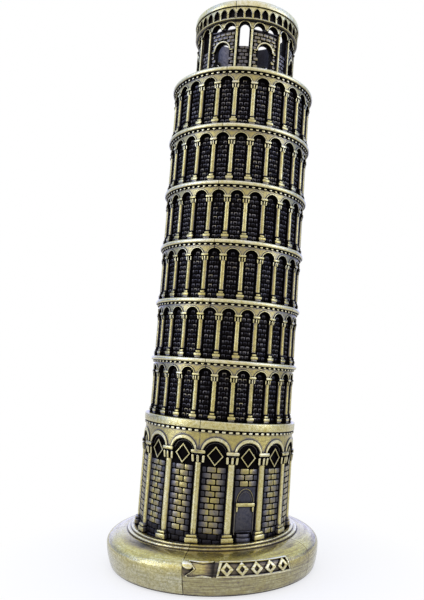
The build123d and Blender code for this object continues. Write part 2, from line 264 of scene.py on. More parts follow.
def arch(outer, inner, spring, back, front, bevel, polish_and_light, side, steps=24):
    """Raised moulding over an opening; outer and inner are its (half width, rise)."""
    lines = [arc(*size, y=spring, steps=steps) for size in (outer, inner)]
    return moulding(*lines, back, front, bevel, polish_and_light, side)


def arched(half, rise, sill, spring, steps):
    """Outline of a round-headed opening, from its lower left corner."""
    return np.concatenate([[(-half, sill), (half, sill)], arc(half, rise, y=spring, steps=steps)])


def pointed(width, sill, spring, steps=8):
    """Outline of an opening with a pointed head, from its lower left corner."""
    half = width / 2
    t = np.radians(np.linspace(0, 60, steps + 1))
    right = np.stack((-half + width * np.cos(t), spring + width * np.sin(t)), 1)
    left = right[::-1][1:] * (-1, 1)
    return np.concatenate([[(-half, sill), (half, sill)], right, left])


def densify(points, step):
    """Closed loop with points added along its straight runs, so that a long edge can bend."""
    points = np.asarray(points, float)
    out = []
    for a, b in zip(points, np.roll(points, -1, 0)):
        n = max(1, int(math.ceil(np.linalg.norm(b - a) / step)))
        out += [a + (b - a) * k / n for k in range(n)]
    return np.array(out)


def inside(points, loop):
    """Even-odd test of many points against one closed loop."""
    x, y = points[:, 0], points[:, 1]
    found = np.zeros(len(points), bool)
    for (ax, ay), (bx, by) in zip(loop, np.roll(loop, -1, 0)):
        if ay == by:
            continue
        crosses = (ay > y) != (by > y)
        found ^= crosses & (x < (bx - ax) * (y - ay) / (by - ay) + ax)
    return found


def in_plate(points, loops):
    """True for points inside the first loop and outside the others."""
    found = inside(points, loops[0])
    for hole in loops[1:]:
        found &= ~inside(points, hole)
    return found


def clear_of(points, loops, gap):
    """True for points at least a gap away from every corner of the loops."""
    apart = np.ones(len(points), bool)
    for corner in np.concatenate(loops):
        apart &= ((points - corner) ** 2).sum(1) > gap * gap
    return apart


def plate(outline, holes, back, front, cell, polish_and_light=1.0, shade=None, extra=None):
    """Flat plate of any outline, with holes, meshed finely enough to bend.

    Shade scales its polish by place; extra points give the shade something to hold on to.
    """
    loops = [densify(loop, cell) for loop in [outline, *holes]]
    low, high = loops[0].min(0), loops[0].max(0)
    gx, gy = np.meshgrid(*(np.arange(low[k] + cell / 2, high[k], cell) for k in (0, 1)))
    grid = np.stack((gx.ravel(), gy.ravel()), 1)
    points = [*loops, grid[in_plate(grid, loops) & clear_of(grid, loops, cell * 0.45)]]
    if extra is not None:
        points.append(extra[in_plate(extra, loops) & clear_of(extra, loops, cell * 0.25)])
    marks, edges, start = [], [], 0
    for loop in loops:
        mark = list(range(start, start + len(loop)))
        marks.append(mark)
        edges += zip(mark, mark[1:] + mark[:1])
        start += len(loop)
    out = delaunay_2d_cdt([Vector(p) for p in np.concatenate(points)], edges, [], 0, 1e-6)
    flat = np.array([tuple(v) for v in out[0]])
    index = {old: new for new, olds in enumerate(out[3]) for old in olds}
    triangles = np.array([tuple(f) for f in out[2]])
    triangles = triangles[in_plate(flat[triangles].mean(1), loops)]
    a, b, c = (flat[triangles[:, i]] for i in range(3))
    clockwise = (b[:, 0] - a[:, 0]) * (c[:, 1] - a[:, 1]) < (b[:, 1] - a[:, 1]) * (c[:, 0] - a[:, 0])
    triangles[clockwise] = triangles[clockwise][:, ::-1]
    n = len(flat)
    polygons = [tuple(t) for t in triangles] + [tuple(t[::-1] + n) for t in triangles]
    ahead = {(t[i], t[(i + 1) % 3]) for t in triangles for i in range(3)}
    for mark in marks:
        ids = [index[i] for i in mark]
        for p, q in zip(ids, ids[1:] + ids[:1]):
            if (p, q) not in ahead:
                p, q = q, p
            polygons.append((q, p, p + n, q + n))
    co = np.concatenate([np.c_[flat, np.full(n, front)], np.c_[flat, np.full(n, back)]])
    face = np.full(n, polish_and_light) * (shade(flat) if shade else 1.0)
    return Shell(co, polygons, np.r_[face, np.zeros(n)])


def inward(profile):
    """Unit vectors into a closed section, one for each of its corners."""
    run = np.roll(profile, -1, 0) - profile
    run /= np.linalg.norm(run, axis=1)[:, None]
    run = run + np.roll(run, 1, 0)
    run /= np.maximum(np.linalg.norm(run, axis=1), 1e-6)[:, None]
    x, y = profile.T
    turn = np.sign(np.sum(x * np.roll(y, -1) - y * np.roll(x, -1)))
    return np.stack((-run[:, 1], run[:, 0]), 1) * turn


def sector(profile, low_az, high_az, step, polish_and_light, seam=0.0, shade=None):
    """Closed (radius, height) section swept between two azimuths, its end edges broken by a small seam."""
    n = max(2, int(math.ceil((high_az - low_az) / step)) + 1)
    profile = np.asarray(profile, float)
    polish_and_light = np.ones(len(profile)) * polish_and_light
    azimuths = np.linspace(low_az, high_az, n)
    sections = [(a, profile, polish_and_light * (shade(a, profile) if shade else 1.0)) for a in azimuths]
    if seam:
        broken = profile + inward(profile) * seam
        turn = math.degrees(seam / profile[:, 0].max())
        sections[0] = (low_az + turn, *sections[0][1:])
        sections[-1] = (high_az - turn, *sections[-1][1:])
        sections = [(low_az, broken, polish_and_light * 0), *sections, (high_az, broken, polish_and_light * 0)]
    rings = [np.stack(round_axis(math.radians(a), *section.T), 1) for a, section, _ in sections]
    return skin(rings, np.concatenate([bright for _, _, bright in sections]))


def cut(shell, point, normal):
    """Part of a shell behind a plane, with the cut closed; None if nothing is left."""
    d = (shell.co - point) @ normal
    if (d < 1e-6).all():
        return shell
    if (d > -1e-6).all():
        return None
    bm = bmesh.new()
    layer = bm.verts.layers.float.new("polish_and_light")
    verts = [bm.verts.new(c) for c in shell.co]
    for v, p in zip(verts, shell.polish_and_light):
        v[layer] = p
    for p in shell.polygons:
        bm.faces.new([verts[i] for i in p])
    everything = [*bm.verts, *bm.edges, *bm.faces]
    plane = {"plane_co": point, "plane_no": normal}
    bmesh.ops.bisect_plane(bm, geom=everything, dist=1e-5, clear_outer=True, **plane)
    bmesh.ops.holes_fill(bm, edges=[e for e in bm.edges if e.is_boundary], sides=0)
    bm.verts.index_update()
    co = [v.co[:] for v in bm.verts]
    polygons = [tuple(v.index for v in f.verts) for f in bm.faces]
    polish_and_light = [v[layer] for v in bm.verts]
    bm.free()
    if len(polygons) < 4:
        return None
    return Shell(co, polygons, np.array(polish_and_light))


def clip_wedge(shells, low_az, high_az):
    """Keep what lies between two seams, less half the gap at each."""
    kept = []
    for shell in shells:
        for az, sign in ((high_az, 1), (low_az, -1)):
            a = math.radians(az)
            normal = Vector((math.cos(a), math.sin(a), 0)) * sign
            if shell is not None:
                shell = cut(shell, -normal * GAP / 2, normal)
        if shell is not None:
            kept.append(shell)
    return kept


def turned(shell, azimuth):
    """Rotated copy about the vertical axis."""
    c, s = math.cos(math.radians(azimuth)), math.sin(math.radians(azimuth))
    x, y, z = shell.co.T
    return shell.moved(np.stack((x * c - y * s, x * s + y * c, z), 1))


def leaned(shell, lift=0.0):
    """Tower frame to the object's frame."""
    x, y, z = shell.co.T
    return shell.moved(FOOT + np.outer(x, SIDE) + np.outer(y, (0, 1, 0)) + np.outer(z + lift, AXIS))


# =========================== relief parts ===========================
EVEN = {"narrow": 0.97, "tone": (0.78, 1.12), "wobble": 1.0, "bevel": 0.11, "side": 0.2, "limit": math.inf}
ROUGH = {"narrow": 0.86, "tone": (0.3, 1.6), "wobble": 3.0, "bevel": 0.16, "side": 0.35, "limit": 0.62}


def courses(rng, rows, size, pitch, shifts, reach, front, polish_and_light, edge, painted_side_shade=None, clear=None, dish=0.0):
    """Brick rows centred on x = 0, every other row shifted.

    They stop at reach, a half width or a function of y, and start at clear(y). Dished bricks are the small
    uneven ones of the galleries; their upper edge carries a painted highlight and the rest is kept dark.
    """
    kind = ROUGH if dish else EVEN
    bricks = []
    w, h = size
    for row, y in enumerate(rows):
        limit = reach(y) if callable(reach) else reach
        start = clear(y) if clear else 0.0
        count = int(limit / pitch) + 1
        for i in range(-count, count + 1):
            x = shifts[row % 2] + i * pitch
            low, high = max(x - w / 2, -limit), min(x + w / 2, limit)
            if start and x > 0:
                low = max(low, start)
            elif start:
                high = min(high, -start)
            if high - low < 0.3 * w:
                continue
            bright = rng.uniform(*kind["tone"])
            rim = min(edge * bright, kind["limit"])
            across = (high - low) * rng.uniform(kind["narrow"], 1.02)
            up = h * rng.uniform(0.95, 1.03)
            face = front + rng.uniform(-0.06, 0.06)
            brick = block(
                across, up, face, 0.7, h * kind["bevel"], polish_and_light * bright, kind["side"] * rim,
                corner=h * 0.13, edge=rim, dish=dish,
            )
            co = brick.co.copy()
            co[:, 1] += co[:, 0] * rng.uniform(-0.02, 0.02) * kind["wobble"]
            aside = rng.uniform(-0.03, 0.03) * kind["wobble"]
            brick = brick.moved(co).at((low + high) / 2 + aside, y + rng.uniform(-0.03, 0.03))
            # painted shade towards the sides of the bay, where the bricks meet the columns
            if painted_side_shade:
                brick.polish_and_light = brick.polish_and_light * painted_side_shade(brick.co[:, 0])
            # painted highlight: only the upper half of a gallery brick keeps its polish, so its top edge
            # shines as if lit from above
            if dish:
                brick.polish_and_light = brick.polish_and_light * np.where(brick.co[:, 1] > y, 1.0, 0.12)
            bricks.append(brick)
    return bricks


def capital(spread, width, height, tilt, front, bell):
    """Three upright leaves round a dark bell, under the abacus; y = 0 is the top of the shaft."""
    core = lathe([(bell, -0.2), (bell * 0.9, height * 0.4), (bell * 1.15, height + 0.35)], 12, 0.0)
    parts = [core.at(z=front - bell - 0.55)]
    for x, w, back in ((-spread, 1.0, 0.30), (0.0, 0.95, 0.0), (spread, 1.0, 0.30)):
        leaf = block(width * w, height, 0.0, 0.9, width * 0.28, polish_and_light=1.2, side=0.5)
        co = leaf.co.copy()
        lift = (co[:, 1] / height + 0.5) ** 1.6
        co[:, 2] += tilt * lift
        co[:, 0] += np.sign(x) * tilt * 0.55 * lift
        parts.append(leaf.moved(co).at(x, height / 2, front - back))
    return parts


def spandrel(reference, bays, pitch, spring, opening, rim, leg, top, back, front, half_ends, cell, polish_and_light):
    """Wall over a row of arches, one plate for the whole casting; it ends in half arches or half legs.

    Opening is (half width, rise). Rim is that of the raised arch moulding and how far from it the painted
    shade beside the moulding reaches.
    """
    rx, ry = opening
    rim_x, rim_y, dark = rim
    p = math.radians(pitch) * reference
    end_x = bays * p / 2
    first = 0.0 if half_ends else 0.5
    centres = [-end_x + (i + first) * p for i in range(bays + int(half_ends))]
    low = [] if half_ends else [(-end_x, leg)]
    for i, x in enumerate(centres):
        start = 90.0 if half_ends and i == 0 else 180.0
        end = 90.0 if half_ends and i == len(centres) - 1 else 0.0
        if start == 180.0:
            low.append((x - rx, leg))
        low += [tuple(q) for q in arc(rx, ry, start, end, int(abs(start - end) / 9), x, spring)]
        if end == 0.0:
            low.append((x + rx, leg))
    if not half_ends:
        low.append((end_x, leg))
    seam = end_x - GAP / 2
    low = [(min(max(x, -seam), seam), y) for x, y in low]

    # painted shade: the wall is darker next to each raised arch moulding, as if in its shadow
    def shade(flat):
        away = np.full(len(flat), 9.0)
        for x in centres:
            q = np.hypot((flat[:, 0] - x) / rim_x, (flat[:, 1] - spring) / rim_y)
            away = np.minimum(away, (q - 1) * rim_x)
        return np.clip(0.3 + away / dark, 0.3, 1.0)

    away = (0.06, dark * 0.5, dark)
    rings = [arc(rim_x + d, rim_y + d, steps=30, x=x, y=spring) for x in centres for d in away]
    outline = [*low, (seam, top), (-seam, top)]
    return plate(outline, [], back, front, cell, polish_and_light, shade, np.concatenate(rings))


def beads(count, y, size, reference, front, rng, square):
    """Row of square dentils or of rounder beads under a band, centred on the casting."""
    w, h = size
    bevel, corner = (0.16, 0.16) if square else (0.3, 0.36)
    parts = []
    for i in range(count):
        azimuth = (i - (count - 1) / 2) * SEGMENT / count
        across, up = w * rng.uniform(0.93, 1.05), h * rng.uniform(0.95, 1.05)
        tooth = block(across, up, front, 1.6, bevel, 1.3, 0.4, corner=corner)
        parts.append(bend(tooth.at(y=y), azimuth, reference))
    return parts


# =========================== galleries ===========================
def gallery_column(floor, rng, rub):
    """Column, capital, abacus and three-block base of a gallery, at x = 0."""
    turning = (  # radius, height and polish
        (0.84, 3.0, 0.0), (0.80, 3.25, 0.0), (0.82, 3.5, 0.0), (1.0, 3.72, 0.6), (1.03, 4.1, 0.88),
        (1.0, 9.5, 0.94), (0.97, 15.2, 0.94), (1.03, 15.55, 0.9), (1.0, CAPITAL_Y, 0.6), (0.75, 16.0, 0.1),
    )
    parts = [lathe([p[:2] for p in turning], 18, [p[2] for p in turning]).at(z=-1.0)]
    parts += [p.at(y=CAPITAL_Y) for p in capital(1.06, 0.60, 1.65, 0.22, 0.02, 0.72)]
    parts += [
        block(3.05, 0.98, 0.45, 2.0, 0.26, 1.15, 0.6).at(y=18.15),
        block(1.95, 0.95, 0.12, 1.6, 0.2, 0.9, 0.5, taper=0.06).at(y=2.62),
        block(3.15, 1.2, 0.5, 2.1, 0.26, 1.0, 0.5).at(y=1.5),
        block(2.5, 1.0, 0.3, 2.0, 0.2, 0.55, 0.3).at(y=0.5),
    ]
    jitter = rng.uniform(-0.04, 0.04)
    for part in parts:
        part.polish_and_light = part.polish_and_light * rub
    return [p.at(x=jitter, y=floor) for p in parts]


def cornice(low, high):
    """Band with a rounded nose over a gallery, swept over one casting."""
    nose, rows = 0.95, 9
    mid, half = (low + high) / 2, (high - low) / 2
    turn = np.linspace(-math.pi / 2, math.pi / 2, rows)
    face = [(CORNICE_R - nose + nose * math.cos(a) ** 0.6, mid + half * math.sin(a)) for a in turn]
    back = INNER_R + 1.3
    bright = [0.1, 0.3, 1.0, *[1.25] * (rows - 4), 1.2, 0.9, 0.5]
    profile = [(back, low), *face, (back, high)]
    return sector(profile, -HALF + SHAFT_SEAM, HALF - SHAFT_SEAM, 1.2, bright, 0.12)


def gallery_shells(level, rng):
    """Everything of one gallery in one casting, in the tower's frame."""
    floor = GROUND_TOP + level * GALLERY_H
    rub = GALLERY_RUB[level]
    bays = GALLERY_BAYS // CASTINGS
    wall_back = GALLERY_WALL - 0.5
    wall = spandrel(
        GALLERY_R, bays, GALLERY_PITCH, GALLERY_SPRING, opening=(3.0, 3.0), rim=(*GALLERY_ARCH, 0.5),
        leg=17.6, top=22.15, back=wall_back, front=-0.28, half_ends=True, cell=1.0, polish_and_light=0.7,
    )
    shells = [bend(wall, 0.0, GALLERY_R, floor)]
    rows = [1.3 + GALLERY_COURSE_H * k for k in range(10)]
    for i in range(bays + 1):
        niche = arched(2.15, 2.1, 0.0, GALLERY_SPRING - 0.2, 14)
        bay = [plate(niche, [], wall_back, GALLERY_WALL + 0.28, 1.1, 0.0)]
        show = rng.choice((0.02, 0.05, 0.08, 0.13)) * rub
        # brightness of the painted highlight on each brick's top edge
        edge = rng.uniform(0.27, 0.5) * rub**0.5
        bay += courses(
            rng, rows, (1.85, 1.55), 2.2, (1.1, 0.0), lambda y: 2.12 if y < 17.0 else 1.75,
            GALLERY_WALL + 0.7, show, edge, dish=0.12,
        )
        bay.append(arch(GALLERY_ARCH, (2.95, 2.95), GALLERY_SPRING, GALLERY_WALL, 0.08, 0.14, 1.1, 0.6))
        shells += bent(bay, (i - bays / 2) * GALLERY_PITCH, GALLERY_R, floor)
    for i in range(bays):
        column = gallery_column(floor, rng, min(1.0, 0.6 + 0.4 * rub))
        shells += bent(column, (i - (bays - 1) / 2) * GALLERY_PITCH, GALLERY_R)
    shells += beads(GALLERY_BEADS, floor + 22.55, (1.35, 0.95), GALLERY_R, 0.42, rng, False)
    shells.append(cornice(floor + CORNICE_Y, floor + GALLERY_H))
    return shells


# =========================== ground floor ===========================
def ground_column(at_seam):
    """Engaged column without its pedestal, at x = 0; at a seam it is slimmer, with a wider head."""
    widen, r = (1.12, 1.55 * 0.87) if at_seam else (1.0, 1.55)
    turning = (  # share of the radius, height and polish
        (0.9, 1.0, 1.1), (1.0, 4.4, 1.1), (1.02, 6.0, 1.1), (1.0, 18.0, 1.1),
        (0.98, 30.4, 1.1), (1.03, 30.9, 1.1), (1.0, 31.3, 0.8), (0.7, 31.4, 0.1),
    )
    parts = [lathe([(r * p[0], p[1]) for p in turning], 24, [p[2] for p in turning]).at(z=0.05 - r)]
    parts += [p.at(y=31.3) for p in capital(1.88 * widen, 1.08, 2.95, 0.35, 0.28, 1.25)]
    parts.append(block(5.3 * widen, 1.4, 0.75, 2.4, 0.34, 1.15, 0.6).at(y=35.55))
    return parts


def lozenge(rx, ry, width, step, back, front, bevel, polish_and_light):
    """Raised lozenge frame round x = y = 0."""
    outer = densify([(rx, 0), (0, ry), (-rx, 0), (0, -ry)], step)
    inner = outer * (1 - width * math.hypot(rx, ry) / (rx * ry))
    return moulding(outer, inner, back, front, bevel, polish_and_light, 0.4, loop=True)


def ground_bay(with_door, rng):
    """One bay: arch mouldings, lozenge and brickwork; the door takes the place of the lower bricks."""
    back = GROUND_WALL - 0.3
    parts = [
        arch(GROUND_ARCH, (5.0, 4.35), GROUND_SPRING, GROUND_WALL, 0.15, 0.34, 1.15, 0.4, steps=32),
        arch((4.45, 3.85), (4.2, 3.6), GROUND_SPRING, back, -1.0, 0.08, 0.4, 0.2),
        lozenge(3.4, 3.95, 0.5, 1.0, back, -0.35, 0.12, 1.0).at(y=34.15),
    ]
    rows = [28.75 - COURSE_H * k for k in range(3 if with_door else 11)]

    # painted shade: bricks darken towards the columns at both sides of the bay
    def painted_side_shade(x):
        return np.interp(np.abs(x), (2.0, 3.7), (1.0, 0.2))

    reach, front = 4.9, GROUND_WALL + 0.55
    parts += courses(rng, rows, (3.62, 1.96), 4.05, (-1.1, 1.0), reach, front, 0.7, 0.95, painted_side_shade)
    if with_door:
        return parts + door()
    sunk = GROUND_WALL + 0.35
    return parts + courses(rng, (2.9, 0.75, -1.4), (3.62, 1.9), 4.05, (1.0, -1.1), reach, sunk, 0.1, 0.14)


def door():
    """Plain door leaf between slim posts, lintel on brackets, arched tympanum, rounded steps."""
    wall = GROUND_WALL
    back = wall - 0.4
    parts = [
        plate([(-4.6, 5.0), (4.6, 5.0), (4.6, 22.6), (-4.6, 22.6)], [], back, wall + 0.18, 1.0, 0.17),
        arch((3.95, 5.55), (3.65, 5.2), DOOR_HEAD, back, wall + 0.5, 0.1, 0.75, 0.35),
        arch((3.1, 4.4), (2.85, 4.1), DOOR_HEAD, back, wall + 0.36, 0.08, 0.4, 0.2),
        block(8.3, 1.45, wall + 1.25, 1.6, 0.28, 1.0, 0.5).at(y=15.85),
        block(7.0, 9.4, wall + 0.34, 0.7, 0.16, 0.2, 0.1, edge=0.25).at(y=10.2),
        block(6.6, 0.5, wall + 0.7, 0.9, 0.16, 0.12, 0.05).at(y=5.35),
    ]
    bracket = block(0.85, 1.9, wall + 0.95, 1.2, 0.22, 1.0, 0.5, taper=0.25)
    post = block(0.3, 11.0, wall + 0.42, 0.8, 0.1, 0.45, 0.2)
    for part, x, y in ((bracket, 3.55, 14.0), (post, 4.15, 9.6)):
        parts += [part.at(-x, y), part.at(x, y)]
    for width, low, high, out in ((6.9, 1.0, 3.1, 1.9), (6.0, 3.1, 4.6, 1.3)):
        edge = arc(width / 2, out, 180, 0, 16)
        rings = []
        for y, grow in ((low, 1.0), (high - 0.25, 1.0), (high, 0.93)):
            ring = [(x * grow, y, wall + 0.1 + z * grow) for x, z in edge]
            rings.append(np.array([*ring, (width / 2 * grow, y, back), (-width / 2 * grow, y, back)]))
        parts.append(skin(rings, (0.05, 0.3, 0.25)))
    return parts


def ground_band():
    """Plain band over the ground floor, rounded along both edges and swept over one casting."""
    low, high = GROUND_TOP - GROUND_BAND_H, GROUND_TOP
    edge = ((0.6, 0.0), (0.25, 0.06), (0.04, 0.3), (0.0, 0.6))  # behind the face, from the band's end
    profile = [(INNER_R + 1, low), *((GROUND_BAND_R - d, low + h) for d, h in edge)]
    profile += [*((GROUND_BAND_R - d, high - h) for d, h in edge[::-1]), (INNER_R + 1, high)]
    bright = [0.1, 0.3, 1.0, 1.25, 1.08, 1.08, 1.25, 1.25, 1.0, 0.4]
    return sector(profile, -HALF + SHAFT_SEAM, HALF - SHAFT_SEAM, 1.2, bright, 0.12)


def ground_shells(has_door, rng):
    """Ground floor of one casting, in the tower's frame."""
    bays = GROUND_BAYS // CASTINGS
    frieze = spandrel(
        GROUND_R, bays, GROUND_PITCH, GROUND_SPRING, opening=(5.2, 4.6), rim=(*GROUND_ARCH, 1.1),
        leg=34.0, top=43.15, back=GROUND_WALL - 0.4, front=-0.4, half_ends=False, cell=1.3, polish_and_light=0.84,
    )
    shells = [bend(frieze, 0.0, GROUND_R)]
    for i in range(bays):
        bay = ground_bay(has_door and i == 1, rng)
        shells += bent(bay, (i - 1) * GROUND_PITCH, GROUND_R)
    for i in range(bays + 1):
        column = ground_column(at_seam=i in (0, bays))
        shells += bent(column, (i - bays / 2) * GROUND_PITCH, GROUND_R)
    shells += beads(GROUND_BEADS, 43.68, (1.6, 0.82), GROUND_R, 0.2, rng, True)
    shells.append(ground_band())
    return shells


# =========================== staves ===========================
def wall_core():
    """Dark wall behind the relief, ground floor to deck, with the inner foot flange."""
    ground_r, frieze_r = GROUND_R + GROUND_WALL, GROUND_R - 0.9
    gallery_r = GALLERY_R + GALLERY_WALL
    arcade_r = gallery_r + 0.95
    drop, flange_r, flange_top = -4.8, 19.5, 8.0
    seat_r, seat = 29.25, SHAFT_TOP - DECK_T - GAP
    profile = [(flange_r, drop), (ground_r, drop), (ground_r, 20.0), (ground_r, 43.0)]
    profile += [(frieze_r, 43.0), (frieze_r, 45.0), (gallery_r + 0.4, 46.0)]
    for level in range(GALLERIES):
        floor = GROUND_TOP + level * GALLERY_H
        profile += [(gallery_r, floor), (gallery_r, floor + 21.9)]
        profile += [(arcade_r, floor + 22.0), (arcade_r, floor + 23.2)]
    profile += [(arcade_r, SHAFT_TOP), (seat_r, SHAFT_TOP), (seat_r, seat), (INNER_R, seat)]
    profile += [(INNER_R, flange_top), (flange_r, flange_top)]
    return sector(profile, -HALF + SHAFT_SEAM, HALF - SHAFT_SEAM, 1.2, 0.0)


def pedestals(azimuth):
    """Two-block feet of the ground-floor columns; they stand on the level foot ring."""
    shells = []
    columns = GROUND_BAYS // CASTINGS + 1
    z = BASE_TOP + 2 * STEP_H + GAP
    for height, width, front, bright in ((2.15, 4.75, 1.1, 1.0), (1.15, 4.0, 0.75, 0.95)):
        for i in range(columns):
            widen = 1.1 if i in (0, columns - 1) else 1.0
            part = block(width * widen, height - 0.08, front, 2.6, 0.34, bright, 0.5)
            place = azimuth + (i - (columns - 1) / 2) * GROUND_PITCH
            shells.append(bend(part, place, GROUND_R, z + height / 2))
        z += height
    return shells


def build_stave(index):
    """All shells of one shaft casting in the object's frame."""
    rng = random.Random(SEED + index)
    azimuth = index * SEGMENT
    loose = ground_shells(index == 0, rng)
    for level in range(GALLERIES):
        loose += gallery_shells(level, rng)
    shells = [wall_core(), *(s.rubbed() for s in clip_wedge(loose, -HALF, HALF))]
    shells = [leaned(turned(s, azimuth)) for s in shells]
    shells += clip_wedge(pedestals(azimuth), azimuth - HALF, azimuth + HALF)
    shells = [cut(s, Vector((0, 0, BASE_TOP + GAP)), Vector((0, 0, -1))) for s in shells]
    return [s for s in shells if s is not None]


# =========================== belfry ===========================
def opened_ring(sill, half):
    """Outline of the belfry's wall rolled out flat, with half of the rear opening cut from each end."""
    mid = math.pi * BELFRY_R
    seam = mid - 0.02
    spring = BELFRY_SPRING
    head = arc(half, half, 180, 90, 8, mid, spring)[1:-1]
    right = [(seam, sill), (mid - half, sill), (mid - half, spring), *head, (seam, spring + half)]
    left = [(-x, y) for x, y in right[::-1]]
    return [(-seam, 0.0), (seam, 0.0), *right, (seam, ARCADE_TOP), (-seam, ARCADE_TOP), *left]


def belfry_openings():
    """Holes of the rolled-out wall, and of the arcade that stands out in front of it."""
    wall, arcade = [], []
    for i in range(BELFRY_UNITS):
        x = (i - (BELFRY_UNITS - 1) / 2) * UNIT_W
        wall.append(arched(3.4, 3.4, 2.4, DOORWAY_SPRING, 20) + (x, 0))
        wall += [arc(2.45, 2.45, steps=16, x=side * SIXTH, y=22.55) + (x, 0) for side in (-1, 1)]
        right, left = (arc(2.5, 2.5, steps=16, x=side * SIXTH, y=22.8) for side in (1, -1))
        panel = [(-6.2, 1.2), (6.2, 1.2), (6.2, 22.3), *right]
        panel += [(SIXTH - 2.5, LEDGE_Y), (2.5 - SIXTH, LEDGE_Y), *left, (-6.2, 22.3)]
        arcade.append(np.array(panel) + (x, 0))
        if i < BELFRY_UNITS - 1:
            x += UNIT_W / 2
            wall.append(arched(2.3, 2.3, WINDOW_SILL, BELFRY_SPRING, 16) + (x, 0))
            head = arc(2.55, 2.55, steps=16, y=BELFRY_SPRING)
            slot = [(-2.8, 1.2), (2.8, 1.2), (2.8, 22.6), *head, (-2.8, 22.6)]
            arcade.append(np.array(slot) + (x, 0))
    return wall, arcade


def jamb(y):
    """Half width that belfry bricks keep clear of: the doorway, then its archivolt."""
    if y < 12.0:
        return 3.45
    return math.sqrt(max(0.0, 4.5**2 - (y - 0.3 - DOORWAY_SPRING) ** 2))


def doorway_bay(rng, rows):
    """Wide bay: bricks, doorway arch on imposts, and two small arches with a bracket and ledge between."""
    back = BELFRY_WALL - 0.2
    front, show = BELFRY_WALL + 0.45, rng.choice((0.44, 0.54, 0.64))
    parts = courses(rng, rows, (2.32, 1.2), 2.75, (1.37, 0.0), 5.85, front, show, 1.0, clear=jamb)
    parts.append(arch((4.3, 4.3), (3.45, 3.45), DOORWAY_SPRING, back, 0.15, 0.22, 1.2, 0.5))
    for side in (-1, 1):
        parts.append(block(1.5, 0.5, 0.1, 1.2, 0.14, 0.9, 0.4).at(side * 4.6, 12.75))
        small = arch((3.02, 3.02), (2.45, 2.45), 22.75, back, 0.3, 0.16, 1.2, 0.5)
        parts.append(small.at(side * SIXTH))
    parts.append(block(1.3, 0.7, 0.55, 1.4, 0.18, 1.0, 0.5, taper=0.35).at(0, 22.65))
    parts.append(block(12.2, 0.5, -0.25, 0.9, 0.12, 0.25, 0.1).at(0, LEDGE_Y))
    return parts


def window_bay(rng, rows):
    """Narrow bay: bricks below the window's sill, and its arch."""
    low = [y for y in rows if y < WINDOW_SILL - 0.3]
    front = BELFRY_WALL + 0.45
    parts = courses(rng, low, (1.95, 1.2), 2.35, (0.6, -0.6), 2.45, front, 0.34, 0.7)
    parts.append(arch((2.98, 2.98), (2.42, 2.42), BELFRY_SPRING, BELFRY_WALL - 0.2, 0.3, 0.16, 1.2, 0.5))
    return parts


def belfry_pillar():
    """Thin round pillar between two bays, with its foot and head blocks."""
    profile = [(0.62, 0.9), (0.56, 1.4), (0.56, 12.0), (0.54, 21.6), (0.66, 21.9), (0.5, 22.2)]
    return [
        lathe(profile, 14, [0.7, 1.1, 1.1, 1.1, 1.1, 0.6]).at(z=0.12),
        block(1.6, 1.0, 0.85, 1.6, 0.2, 0.9, 0.4).at(y=0.5),
        block(1.55, 0.8, 0.85, 1.7, 0.2, 1.0, 0.5, taper=0.3).at(y=22.5),
    ]


def belfry_shells():
    """Whole belfry ring before it is parted, in the tower's frame with height 0 at the deck."""
    rng = random.Random(SEED + 50)
    wall_holes, arcade_holes = belfry_openings()
    layers = [
        plate(opened_ring(WINDOW_SILL, 2.3), wall_holes, BELFRY_IN - BELFRY_R, BELFRY_WALL, 1.1, 0.05),
        plate(opened_ring(1.2, 2.55), arcade_holes, BELFRY_WALL, -0.05, 1.1, 0.85),
    ]
    shells = bent(layers, 0.0, BELFRY_R)
    rows = [13.8 + 1.65 * k for k in range(-7, 5)]
    for i in range(BELFRY_UNITS):
        middle, between = i * UNIT, (i + 0.5) * UNIT
        shells += bent(doorway_bay(rng, rows), middle, BELFRY_R)
        shells += bent(window_bay(rng, rows), between, BELFRY_R)
        for azimuth in (between - UNIT / 6, between + UNIT / 6):
            shells += bent(belfry_pillar(), azimuth, BELFRY_R)
    return shells


def crown_shells():
    """Crown band with its pointed niches; heights from the deck."""
    rng = random.Random(SEED + 70)
    half_turn = math.pi * CROWN_BAND_R
    seam = half_turn - 0.02
    pitch = 2 * half_turn / NICHES
    foot = CROWN_LOW + 0.35
    outline = [(-seam, CROWN_LOW), (seam, CROWN_LOW), (seam, CROWN_HIGH), (-seam, CROWN_HIGH)]
    niche = pointed(2.85, foot, 28.35)
    holes = [niche + ((i + 0.5 - NICHES / 2) * pitch, 0) for i in range(NICHES)]
    shells = [bend(plate(outline, holes, -0.95, 0.0, 1.0, 1.05), 0.0, CROWN_BAND_R)]
    lines = (pointed(3.2, foot, 28.3)[1:], pointed(2.8, foot, 28.35)[1:])
    surround = moulding(*lines, -0.6, 0.2, 0.1, 1.45, 0.7)
    for i in range(NICHES):
        azimuth = (i + 0.5) * 360 / NICHES
        sill = block(2.4 * rng.uniform(0.9, 1.05), 0.5, -0.2, 0.8, 0.14, 0.55, 0.25)
        shells += bent((surround, sill.at(y=CROWN_LOW + 0.6)), azimuth, CROWN_BAND_R)
    return shells


